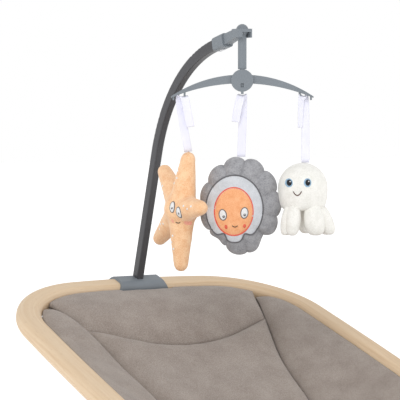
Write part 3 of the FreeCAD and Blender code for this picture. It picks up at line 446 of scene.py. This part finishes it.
def slab(columns, rows, upper, lower):
    """A closed sheet over a grid; upper and lower place each point, given two numbers from -1 to 1."""
    bm = bmesh.new()
    bmesh.ops.create_grid(bm, x_segments=columns, y_segments=rows, size=1.0)
    grown = bmesh.ops.extrude_face_region(bm, geom=bm.faces[:], use_keep_orig=True)
    raised = {item for item in grown["geom"] if isinstance(item, bmesh.types.BMVert)}
    for vertex in bm.verts:
        surface = upper if vertex in raised else lower
        vertex.co = surface(vertex.co.x, vertex.co.y)
    return bm


def pillow(around, across, place):
    """A closed round mesh; place takes the angle, the share of the radius, and the height from -1 to 1."""
    bm = bmesh.new()
    bmesh.ops.create_uvsphere(bm, u_segments=around, v_segments=across, radius=1.0)
    for vertex in bm.verts:
        point = vertex.co
        share = math.hypot(point.x, point.y)
        vertex.co = place(math.atan2(point.y, point.x), min(1.0, share), point.z)
    return bm


def tube(points, radius, closed=False, around=8):
    """A round cord through points, either a closed loop or with ends that taper to a point."""
    count = len(points)
    steps = count if closed else count - 1
    bm = bmesh.new()
    bmesh.ops.create_grid(bm, x_segments=steps, y_segments=around, size=1.0)
    for vertex in bm.verts:
        index = round((vertex.co.x + 1) / 2 * steps)
        angle = (vertex.co.y + 1) * math.pi
        here = points[index % count]
        if closed:
            ahead = points[(index + 1) % count] - points[index - 1]
        else:
            ahead = points[min(index + 1, count - 1)] - points[max(index - 1, 0)]
        side = ahead.orthogonal().normalized() if abs(ahead.normalized().z) > 0.99 \
            else ahead.cross(Vector((0, 0, 1))).normalized()
        up = side.cross(ahead).normalized()
        size = radius if closed or 0 < index < steps else 0.0
        vertex.co = here + (side * math.cos(angle) + up * math.sin(angle)) * size
    bmesh.ops.remove_doubles(bm, verts=bm.verts, dist=1e-6)
    return bm


def smooth_curve(points, per_span=6):
    """Points along a smooth curve through the given ones."""
    ring = [Vector(p) for p in points]
    ends = [2 * ring[0] - ring[1]] + ring + [2 * ring[-1] - ring[-2]]
    curve = []
    for a, b, c, d in zip(ends, ends[1:], ends[2:], ends[3:]):
        for step in range(per_span):
            t = step / per_span
            curve.append(0.5 * (2 * b + (c - a) * t + (2 * a - 5 * b + 4 * c - d) * t * t
                                + (3 * b - a - 3 * c + d) * t ** 3))
    return curve + [ring[-1]]


def soft_copy(name, node, voxel, rounds, finish, body, grow=0.0):
    """A rounded copy of a CAD solid, as stuffed plush."""
    source = nodes[node]
    bm = bmesh.new()
    bm.from_mesh(source.data)
    bm.transform(source.matrix_world)
    bmesh.ops.remove_doubles(bm, verts=bm.verts, dist=2e-5)
    mesh = bpy.data.meshes.new(name + "_rough")
    bm.to_mesh(mesh)
    bm.free()
    rough = bpy.data.objects.new(name + "_rough", mesh)
    bpy.context.scene.collection.objects.link(rough)
    remesh = rough.modifiers.new("even", "REMESH")
    remesh.mode = "VOXEL"
    remesh.voxel_size = voxel
    soften = rough.modifiers.new("soften", "SMOOTH")
    soften.factor = 0.5
    soften.iterations = rounds
    bpy.context.view_layer.update()
    even = bpy.data.meshes.new_from_object(rough.evaluated_get(bpy.context.evaluated_depsgraph_get()))
    bpy.data.objects.remove(rough)
    bm = bmesh.new()
    bm.from_mesh(even)
    bm.normal_update()
    for vertex in bm.verts:
        vertex.co += vertex.normal * (grow + 0.0004 * noise.noise(vertex.co * 90))
    piece = new_piece(name, bm, finish, body, [node])
    return piece


class Face:
    """A flat drawing plane in front of a soft toy; drawings are laid on the toy's surface."""

    def __init__(self, toy, centre, right, up, body):
        bm = bmesh.new()
        bm.from_mesh(toy.data)
        self.tree = BVHTree.FromBMesh(bm)
        bm.free()
        self.right = right.normalized()
        self.out = right.cross(up).normalized()
        self.up = self.out.cross(self.right)
        self.centre = centre
        self.body = body

    def on(self, x, y, lift=0.0):
        """The toy's surface in front of a place on the drawing, lifted a little."""
        start = self.centre + self.right * x + self.up * y + self.out * 0.2
        hit = self.tree.ray_cast(start, -self.out)[0]
        return (hit if hit else start - self.out * 0.2) + self.out * lift

    def patch(self, name, finish, x, y, half_width, half_height, rise, lean=0.0, outline=None):
        """A raised shape, round unless an outline is given."""
        turn = math.radians(lean)

        def place(angle, share, height):
            oval = (half_width * math.cos(angle), half_height * math.sin(angle))
            reach = outline(angle) if outline else oval
            px, py = reach[0] * share, reach[1] * share
            lift = rise * height + 0.0001 if height > 0 else -0.0004
            return self.on(x + px * math.cos(turn) - py * math.sin(turn),
                           y + px * math.sin(turn) + py * math.cos(turn), lift)

        big = max(half_width, half_height) > 0.012
        return new_piece(name, pillow(96 if big else 28, 40 if big else 10, place), finish, self.body)

    def line(self, name, finish, points, radius, closed=False):
        """An embroidered line through places on the drawing."""
        laid = [self.on(px, py, radius * 0.4) for px, py in points]
        return new_piece(name, tube(laid, radius, closed), finish, self.body)

    def eye(self, name, x, y, half_width, half_height, lean, pupil):
        """A white oval with a grey edge, a pupil and a glint."""
        edge = 0.0011
        self.patch(name + "_edge", "grey_thread", x, y, half_width + edge, half_height + edge, 0.0004, lean)
        self.patch(name + "_white", "white_thread", x, y, half_width, half_height, 0.0009, lean)
        px, py, size = pupil
        self.patch(name + "_pupil", "grey_thread", x + px, y + py, size, size * 1.15, 0.0013)
        self.patch(name + "_glint", "white_thread", x + px - size * 0.1, y + py + size * 0.35,
                   size * 0.36, size * 0.36, 0.0019)

    def smile(self, name, x, y, half_width, drop, radius, finish="dark_thread"):
        """A curved line, lowest in its middle."""
        points = []
        for step in range(13):
            share = step / 6 - 1
            points.append((x + half_width * share, y - drop * (1 - share * share)))
        self.line(name, finish, points, radius)


# ---------------------------------------------------------------- seat fabric

def outline_centres():
    """Centre of the corner arc, and of the end arc and side arc that it is tangent to."""
    end_v = RIM_HALF_LENGTH - RIM_END_RADIUS
    side_u = RIM_HALF_WIDTH - RIM_SIDE_RADIUS
    to_end = RIM_END_RADIUS - RIM_CORNER_RADIUS
    to_side = RIM_SIDE_RADIUS - RIM_CORNER_RADIUS
    apart = math.hypot(side_u, end_v)
    along = (to_end ** 2 - to_side ** 2 + apart ** 2) / (2 * apart)
    across = math.sqrt(to_end ** 2 - along ** 2)
    ux, uy = side_u / apart, -end_v / apart
    return (along * ux + across * uy, end_v + along * uy - across * ux), end_v, side_u


CORNER, END_V, SIDE_U = outline_centres()


def rim_u(v, inset):
    """Half width of the rim's inner opening at a place along the seat."""
    v = abs(v)
    offset = -RIM_WIDTH / 2 - inset
    tangent = CORNER[1] * (RIM_SIDE_RADIUS + offset) / (RIM_SIDE_RADIUS - RIM_CORNER_RADIUS)
    if v <= tangent:
        return SIDE_U + math.sqrt((RIM_SIDE_RADIUS + offset) ** 2 - v * v)
    return CORNER[0] + math.sqrt(max(0.0, (RIM_CORNER_RADIUS + offset) ** 2 - (v - CORNER[1]) ** 2))


def rim_v(u, inset):
    """Half length of the rim's inner opening at a place across the seat."""
    u = abs(u)
    offset = -RIM_WIDTH / 2 - inset
    tangent = CORNER[0] * (RIM_END_RADIUS + offset) / (RIM_END_RADIUS - RIM_CORNER_RADIUS)
    if u <= tangent:
        return END_V + math.sqrt((RIM_END_RADIUS + offset) ** 2 - u * u)
    return CORNER[1] + math.sqrt(max(0.0, (RIM_CORNER_RADIUS + offset) ** 2 - (u - CORNER[0]) ** 2))


def profile_depth(v):
    """How far the seat's middle hangs below its edge, by a smooth curve through the profile."""
    last = len(BOWL_PROFILE) - 1

    def slope(index):
        low = BOWL_PROFILE[max(index - 1, 0)]
        high = BOWL_PROFILE[min(index + 1, last)]
        return (high[1] - low[1]) / (high[0] - low[0])

    index = 0
    while index < last - 1 and v > BOWL_PROFILE[index + 1][0]:
        index += 1
    start, depth_start = BOWL_PROFILE[index]
    end, depth_end = BOWL_PROFILE[index + 1]
    span = end - start
    t = max(0.0, min(1.0, (v - start) / span))
    bend = span * (slope(index) * t * (1 - t) ** 2 - slope(index + 1) * t * t * (1 - t))
    return depth_start + (depth_end - depth_start) * t * t * (3 - 2 * t) + bend


def bowl(u, v):
    """Height of the stretched fabric over the rim's middle plane."""
    limit = CORNER[1] + 0.93 * (RIM_CORNER_RADIUS - RIM_WIDTH / 2)
    share = min(1.1, abs(u) / rim_u(min(abs(v), limit), 0.0))
    return -EDGE_DROP - profile_depth(v) * (1 - share ** BOWL_ACROSS_POWER)


def side_seam(v):
    """How far from the middle a bolster's seam runs at a place along the seat."""
    sag = SEAM_END_SPREAD - SEAM_SPREAD
    radius = (SEAM_END ** 2 + sag ** 2) / (2 * sag)
    return SEAM_SPREAD + radius - math.sqrt(radius ** 2 - v * v)


def head_seam(u):
    """How far along the seat the headrest's seam runs at a place across it."""
    radius = (HEAD_SEAM_SPREAD ** 2 + HEAD_SEAM_SAG ** 2) / (2 * HEAD_SEAM_SAG)
    return HEAD_SEAM_ALONG + radius - math.sqrt(radius ** 2 - u * u)


# each kind of pad edge: its thickness, and how far in the pad swells up from it
SEAM = (0.0030, 0.0105)
RIM_EDGE = (0.0080, 0.0170)
PANEL_GAP = 0.0005
RIM_GAP = 0.0008


def make_pad(name, place, columns, rows, sides, folds, seed, node):
    """One padded panel: it swells between its seams, with soft folds and small puckers at them."""
    order = ((-1, None), (1, None), (None, -1), (None, 1))

    def distances(s, t, u, v):
        found = []
        for fixed_s, fixed_t in order:
            eu, ev = place(fixed_s if fixed_s else s, fixed_t if fixed_t else t)
            found.append(math.hypot(eu - u, ev - v))
        return found

    def upper(s, t):
        u, v = place(s, t)
        near = distances(s, t, u, v)
        thickness = PAD_THICKNESS
        nearest = min(near)
        calm = 1 - math.exp(-nearest / 0.02)
        for scale_u, scale_v, height in folds:
            thickness += height * calm * noise.noise(Vector((u * scale_u, v * scale_v, seed)))
        for (edge, reach), distance in zip(sides, near):
            thickness = edge + (thickness - edge) * (1 - math.exp(-distance / reach))
        pucker = noise.noise(Vector((u * 75, v * 75, seed + 7)))
        thickness += 0.0011 * pucker * math.exp(-nearest / 0.016) * (1 - math.exp(-nearest / 0.004))
        return SEAT @ Vector((u, v, bowl(u, v) + FABRIC_GAP + thickness))

    def lower(s, t):
        u, v = place(s, t)
        return SEAT @ Vector((u, v, bowl(u, v) + FABRIC_GAP))

    pad = new_piece(name, slab(columns, rows, upper, lower), "seat_fabric", "seat", [node])


def make_pads():
    """Five panels; a place function turns two numbers from -1 to 1 into places across and along the seat."""
    tip_v = 0.3095
    clamp_half_length = 0.040
    clamp_v = 0.3435
    beside_clamp = 0.0055

    def side_place(sign):
        def place(s, t):
            v = tip_v * t
            inner = side_seam(v) + PANEL_GAP
            outer = max(rim_u(v, RIM_GAP), inner + 0.0015)
            return sign * (inner + (outer - inner) * (s + 1) / 2), v
        return place

    def head_place(s, t):
        share = (t + 1) / 2
        edge_v = HEAD_SEAM_END + (tip_v - HEAD_SEAM_END) * share
        u = s * (side_seam(edge_v) - PANEL_GAP)
        top_u = s * side_seam(tip_v)
        past_clamp = min(1.0, max(0.0, (abs(top_u) - clamp_half_length) / 0.004))
        high = min(rim_v(top_u, RIM_GAP), clamp_v + beside_clamp * past_clamp)
        low = head_seam(s * HEAD_SEAM_SPREAD) + PANEL_GAP
        return u, low + (high - low) * share

    def back_place(s, t):
        high = head_seam(s * HEAD_SEAM_SPREAD) - PANEL_GAP
        low = LEG_SEAM + PANEL_GAP
        v = low + (high - low) * (t + 1) / 2
        return s * (side_seam(v) - PANEL_GAP), v

    def leg_place(s, t):
        far = -rim_v(s * SEAM_END_SPREAD, RIM_GAP)
        near = LEG_SEAM - PANEL_GAP
        v = far + (near - far) * (t + 1) / 2
        return s * (side_seam(max(v, -SEAM_END)) - PANEL_GAP), v

    side_folds = ((9, 24, 0.0050), (22, 60, 0.0016))
    calm_folds = ((7, 16, 0.0028), (16, 34, 0.0012))
    middle_folds = ((9, 8, 0.0030), (26, 22, 0.0009))
    make_pad("left_bolster", side_place(-1), 40, 250, (SEAM, RIM_EDGE, SEAM, SEAM), side_folds, 3.1,
             "side_panel_left")
    make_pad("right_bolster", side_place(1), 40, 250, (SEAM, RIM_EDGE, SEAM, SEAM), calm_folds, 8.4,
             "side_panel_right")
    make_pad("headrest", head_place, 130, 44, (SEAM, SEAM, SEAM, RIM_EDGE), middle_folds, 1.7, "head_panel")
    make_pad("back_cushion", back_place, 110, 170, (SEAM, SEAM, SEAM, SEAM), middle_folds, 5.2, "back_panel")
    make_pad("leg_cushion", leg_place, 110, 80, (SEAM, SEAM, RIM_EDGE, SEAM), middle_folds, 9.6, "leg_panel")


def make_under_cover():
    """The stretched cloth under the pads."""
    def place(angle, share, face):
        reach_u, reach_v = math.cos(angle), math.sin(angle)
        low, high = 0.0, 0.5
        for _ in range(40):
            middle = (low + high) / 2
            u, v = middle * reach_u, middle * reach_v
            inside = abs(v) < rim_v(0, RIM_GAP) and abs(u) < rim_u(0, RIM_GAP)
            if inside and abs(v) > CORNER[1] and abs(u) > CORNER[0]:
                inside = math.hypot(abs(u) - CORNER[0], abs(v) - CORNER[1]) < \
                    RIM_CORNER_RADIUS - RIM_WIDTH / 2 - RIM_GAP
            elif inside and abs(v) > CORNER[1]:
                inside = abs(v) < rim_v(u, RIM_GAP)
            elif inside:
                inside = abs(u) < rim_u(v, RIM_GAP)
            low, high = (middle, high) if inside else (low, middle)
        size = low * share
        u, v = size * reach_u, size * reach_v
        top = bowl(u, v)
        return SEAT @ Vector((u, v, top - (0.0 if face > 0 else COVER_THICKNESS)))

    def spread(angle, share, height):
        ring = 1 - math.acos(min(1.0, abs(height))) / (math.pi / 2)
        return place(angle, 1 - ring, height)

    cover = new_piece("under_cover", pillow(160, 90, spread), "shell_fabric", "seat", ["seat_shell"])


# ---------------------------------------------------------------- harness

STRAP_WIDTH = 0.022


def strap(path, turn_axis, thickness=0.0014):
    """Webbing along a path, as wide as the strap across the given direction."""
    rows = len(path) - 1

    def face(side):
        def place(s, t):
            index = round((t + 1) / 2 * rows)
            ahead = path[min(index + 1, rows)] - path[max(index - 1, 0)]
            out = ahead.cross(turn_axis).normalized()
            return path[index] + turn_axis * (s * STRAP_WIDTH / 2) + out * (side * thickness / 2)
        return place

    return slab(12, rows, face(1), face(-1))


def make_harness():
    """The waist straps, from the buckle down to the padding, and the crotch strap up to it."""
    along = BUCKLE_ALONG
    direction = (SEAT.to_3x3() @ Vector((0, 1, 0))).normalized()
    top = bowl(0, along) + FABRIC_GAP + PAD_THICKNESS + BUCKLE_LIFT - 0.00375
    bm = bmesh.new()
    length = 0
    for side in (-1, 1):
        low_u = 0.104
        low = bowl(low_u, along) + FABRIC_GAP + PAD_THICKNESS
        points = [(0.0405, top - 0.0030), (0.0400, top - 0.0002), (0.0445, top + 0.0012),
                  (0.060, top - 0.001), (0.082, top - 0.012), (low_u, low + 0.001)]
        path = [SEAT @ point for point in smooth_curve([(side * u, along, n) for u, n in points], 8)]
        length += sum((b - a).length for a, b in zip(path, path[1:]))
        made = strap(path, direction)
        mesh = bpy.data.meshes.new("strap")
        made.to_mesh(mesh)
        made.free()
        bm.from_mesh(mesh)
        bpy.data.meshes.remove(mesh)
    waist = new_piece("waist_webbing", bm, "webbing", "seat", ["waist_straps"])
    low = bowl(0, along) + FABRIC_GAP + PAD_THICKNESS
    rise = [(0, along - 0.001, low + 0.0005), (0, along + 0.003, low + 0.012),
            (0, along + 0.001, low + 0.028), (0, along, top - 0.004)]
    path = [SEAT @ point for point in smooth_curve(rise, 8)]
    crotch = new_piece("crotch_webbing", strap(path, Vector((1, 0, 0))), "webbing", "seat", ["crotch_strap"])
    sum((b - a).length for a, b in zip(path, path[1:]))


# ---------------------------------------------------------------- mobile ribbons

RIBBON_WIDTH = 0.010
RIBBON_HALF_THICKNESS = 0.00022


def make_ribbon(name, node, body, points, lean):
    """A ribbon that goes from its loose end up over the bar and down to the toy."""
    path = smooth_curve(points, 10)
    rows = len(path) - 1

    def face(side):
        def place(s, t):
            index = round((t + 1) / 2 * rows)
            share = index / rows
            ahead = (path[min(index + 1, rows)] - path[max(index - 1, 0)]).normalized()
            turn = math.radians(lean[0] + (lean[1] - lean[0]) * share)
            across = Vector((math.cos(turn), math.sin(turn), 0))
            across = (across - ahead * across.dot(ahead)).normalized()
            out = ahead.cross(across).normalized()
            curl = 0.0007 * math.cos(s * 1.4)
            lift = curl + side * RIBBON_HALF_THICKNESS
            return MOBILE @ (path[index] + across * (s * RIBBON_WIDTH / 2) + out * lift)
        return place

    ribbon = new_piece(name, slab(10, rows, face(1), face(-1)), "ribbon", body, [node])
    length = sum((b - a).length for a, b in zip(path, path[1:]))


def make_ribbons():
    make_ribbon("left_ribbon", "star_ribbon", "star",
                [(-0.0625, -0.002, -0.056), (-0.0655, -0.003, -0.040), (-0.0690, -0.003, -0.0225),
                 (-0.0720, 0.000, -0.0185), (-0.0755, 0.003, -0.0225), (-0.0715, 0.002, -0.050),
                 (-0.0650, 0.000, -0.086)], (0, 18))
    make_ribbon("middle_ribbon", "shell_ribbon", "shell",
                [(-0.0080, -0.004, -0.050), (-0.0055, -0.004, -0.034), (-0.0020, -0.003, -0.0205),
                 (-0.0003, 0.000, -0.0172), (0.0012, 0.003, -0.0205), (0.0005, 0.003, -0.050),
                 (-0.0010, 0.001, -0.092)], (8, 0))
    make_ribbon("right_ribbon", "jelly_ribbon", "jelly",
                [(0.0700, -0.004, -0.057), (0.0705, -0.004, -0.040), (0.0715, -0.003, -0.0225),
                 (0.0735, 0.000, -0.0185), (0.0760, 0.003, -0.0225), (0.0765, 0.002, -0.055),
                 (0.0765, 0.000, -0.099)], (55, 8))


# ---------------------------------------------------------------- mobile toys

STAR_CENTRE = Vector((-0.073, 0, -0.155))
STAR_ARM_ANGLES = (4, 73, 139, 211, 268)


def drawing_plane(toy, centre, turn, body):
    """A plane for drawings on a toy, turned by some degrees round the upright axis."""
    angle = math.radians(turn)
    right = MOBILE.to_3x3() @ Vector((math.cos(angle), math.sin(angle), 0))
    return Face(toy, MOBILE @ centre, right, Vector((0, 0, 1)), body)


def make_star():
    star = soft_copy("starfish", "star_toy", 0.0020, 14, "peach_plush", "star", 0.0016)
    dots = drawing_plane(star, STAR_CENTRE, -65, "star")
    face = drawing_plane(star, STAR_CENTRE, -45, "star")
    face.eye("star_left_eye", 0.0045, 0.0030, 0.0030, 0.0062, 2, (0.0004, -0.0012, 0.0016))
    face.eye("star_right_eye", 0.0150, -0.0030, 0.0042, 0.0062, -4, (0.0004, -0.0012, 0.0018))
    face.patch("star_left_cheek", "pink_thread", 0.0010, -0.0140, 0.0018, 0.0024, 0.0005)
    face.patch("star_right_cheek", "pink_thread", 0.0150, -0.0165, 0.0024, 0.0026, 0.0005)
    face.smile("star_smile", 0.0075, -0.0150, 0.0026, 0.0014, 0.0005)
    for arm, angle in enumerate(STAR_ARM_ANGLES):
        for dot, (reach, side) in enumerate(((0.032, 0.003), (0.040, -0.001), (0.048, 0.002))):
            turn = math.radians(angle)
            x = reach * math.cos(turn) - side * math.sin(turn)
            y = reach * math.sin(turn) + side * math.cos(turn)
            dots.patch("star_dot_%d_%d" % (arm, dot), "white_thread", x, y, 0.0014, 0.0014, 0.0006)


SHELL_CENTRE = Vector((-0.0020, 0, -0.1505))
SHELL_HALF_THICKNESS = 0.015
SHELL_HALF_WIDTH = 0.0490
SHELL_HALF_HEIGHT = 0.0580
SHELL_LOBES = 11
FOOT_ANGLE = 0.17


def lobe_height(angle, power):
    """How far a scallop swells at an angle, from nought in its valleys to one on its crown."""
    return abs(math.sin(SHELL_LOBES / 2 * (angle + math.pi / 2 - FOOT_ANGLE))) ** power


def shell_outline(angle):
    """Scalloped edge with eleven lobes, two of them side by side at the bottom."""
    down = angle + math.pi / 2
    lobes = lobe_height(angle, 0.6)
    foot = math.exp(-((down - 0.15) / 0.34) ** 2)
    waist = math.exp(-((abs(down) - 0.66) / 0.20) ** 2)
    swell = (1 + 0.095 * (1 - 0.4 * foot) * (lobes - 0.8)) * (1 + 0.040 * foot - 0.120 * waist)
    return SHELL_HALF_WIDTH * swell * math.cos(angle), SHELL_HALF_HEIGHT * swell * math.sin(angle)


def make_shell():
    def place(angle, share, height):
        x, z = shell_outline(angle)
        flat = 1 - math.acos(min(1.0, abs(height))) / (math.pi / 2)
        reach = 1 - flat
        swell = (1 - reach ** 3.2) ** 0.62
        ribs = lobe_height(angle, 0.5)
        edge = max(0.0, min(1.0, (reach - 0.70) / 0.3))
        thick = SHELL_HALF_THICKNESS * swell * (1 - 0.42 * edge * (1 - ribs))
        shift = -0.0055 * (1 - reach ** 2) if height > 0 else 0.0055 * (1 - reach ** 2)
        depth = -thick if height > 0 else thick
        return MOBILE @ (SHELL_CENTRE + Vector((x * reach + shift, depth, z * reach)))

    shell = new_piece("shell_plush", pillow(220, 90, place), "grey_plush", "shell", ["shell_toy"])
    face = drawing_plane(shell, SHELL_CENTRE, 0, "shell")

    def lining(angle):
        down = math.remainder(angle + math.pi / 2, 2 * math.pi)
        size = 1 - 0.18 * math.exp(-((abs(down) - 0.45) / 0.16) ** 2)
        return 0.0345 * math.cos(angle) * size, 0.0405 * math.sin(angle) * size

    def pearl_rim(angle):
        return 0.0232 * math.cos(angle), 0.0288 * math.sin(angle)

    def ring(centre, outline):
        reaches = [outline(2 * math.pi * step / 120) for step in range(120)]
        return [(centre[0] + x, centre[1] + y) for x, y in reaches]

    lining_centre = (-0.0075, -0.0040)
    face.patch("shell_lining", "lining_satin", *lining_centre, 0.034, 0.040, 0.0012, outline=lining)
    face.line("lining_edge", "grey_thread", ring(lining_centre, lining), 0.0009, True)

    pearl_centre = (-0.0083, -0.0070)
    pearl = face.patch("pearl", "orange_plush", *pearl_centre, 0.0228, 0.0283, 0.0052)
    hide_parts("pearl_toy")
    face.line("pearl_edge", "red_thread", ring(pearl_centre, pearl_rim), 0.0010, True)
    drawing = drawing_plane(pearl, SHELL_CENTRE, 0, "shell")
    drawing.eye("pearl_left_eye", -0.0216, -0.0108, 0.0040, 0.0062, 10, (0.0010, -0.0020, 0.0019))
    drawing.eye("pearl_right_eye", 0.0044, -0.0085, 0.0040, 0.0062, -6, (0.0002, -0.0022, 0.0019))
    drawing.patch("pearl_left_cheek", "red_thread", -0.0177, -0.0255, 0.0018, 0.0028, 0.0006, 8)
    drawing.patch("pearl_right_cheek", "red_thread", 0.0046, -0.0243, 0.0019, 0.0026, 0.0006, -8)
    drawing.smile("pearl_smile", -0.0070, -0.0235, 0.0034, 0.0020, 0.0005)


JELLY_CENTRE = Vector((0.075, 0, -0.129))

# each leg: its place across and in depth, how far it leans each way, and its radius
JELLY_LEGS = ((0.0580, -0.012, -0.0060, -0.005, 0.0080), (0.0625, -0.018, -0.0030, -0.005, 0.0085),
              (0.0600, 0.013, -0.0040, 0.004, 0.0080), (0.0840, -0.016, 0.0040, -0.004, 0.0118),
              (0.0905, -0.004, 0.0130, -0.002, 0.0120), (0.0770, 0.016, 0.0020, 0.005, 0.0100))


def make_jelly():
    """A tall dome on six chubby legs."""
    def dome(angle, share, height):
        reach = 0.0300 * (share if height > 0 else share ** 0.25)
        drop = 0.0300 * height if height > 0 else -0.0275 * (-height) ** 0.8
        return MOBILE @ Vector((0.0735 + reach * math.cos(angle), reach * math.sin(angle), drop - 0.129))

    jelly = new_piece("jellyfish", pillow(120, 60, dome), "white_plush", "jelly", ["jelly_toy"])
    for number, (x, y, lean_x, lean_y, radius) in enumerate(JELLY_LEGS):
        def leg(angle, share, height, x=x, y=y, lean_x=lean_x, lean_y=lean_y, radius=radius):
            low = (1 - height) / 2
            reach = radius * share ** 0.62 * (1 + 0.10 * low)
            return MOBILE @ Vector((x + lean_x * low + reach * math.cos(angle),
                                    y + lean_y * low + reach * math.sin(angle), -0.148 - 0.038 * low))

        tentacle = new_piece("tentacle_%d" % (number + 1), pillow(40, 30, leg), "white_plush", "jelly")
    face = drawing_plane(jelly, JELLY_CENTRE, 0, "jelly")
    for name, x, y in (("left", -0.0195, 0.0063), ("right", 0.0025, 0.0066)):
        face.patch("jelly_%s_ring" % name, "blue_thread", x, y, 0.0047, 0.0055, 0.0005)
        face.patch("jelly_%s_eye" % name, "dark_thread", x + 0.0003, y + 0.0002, 0.0033, 0.0040, 0.0012)
        face.patch("jelly_%s_glint" % name, "white_thread", x + 0.0014, y + 0.0016, 0.0009, 0.0009, 0.0020)
    face.smile("jelly_smile", -0.0097, -0.0030, 0.0054, 0.0056, 0.0006, "brown_thread")


# ---------------------------------------------------------------- build

BUCKLE_ALONG = -0.070
BUCKLE_LIFT = 0.052
COVER_THICKNESS = 0.0012

make_camera()
make_stage()
make_pads()
make_under_cover()
make_harness()
make_ribbons()
make_star()
make_shell()
make_jelly()
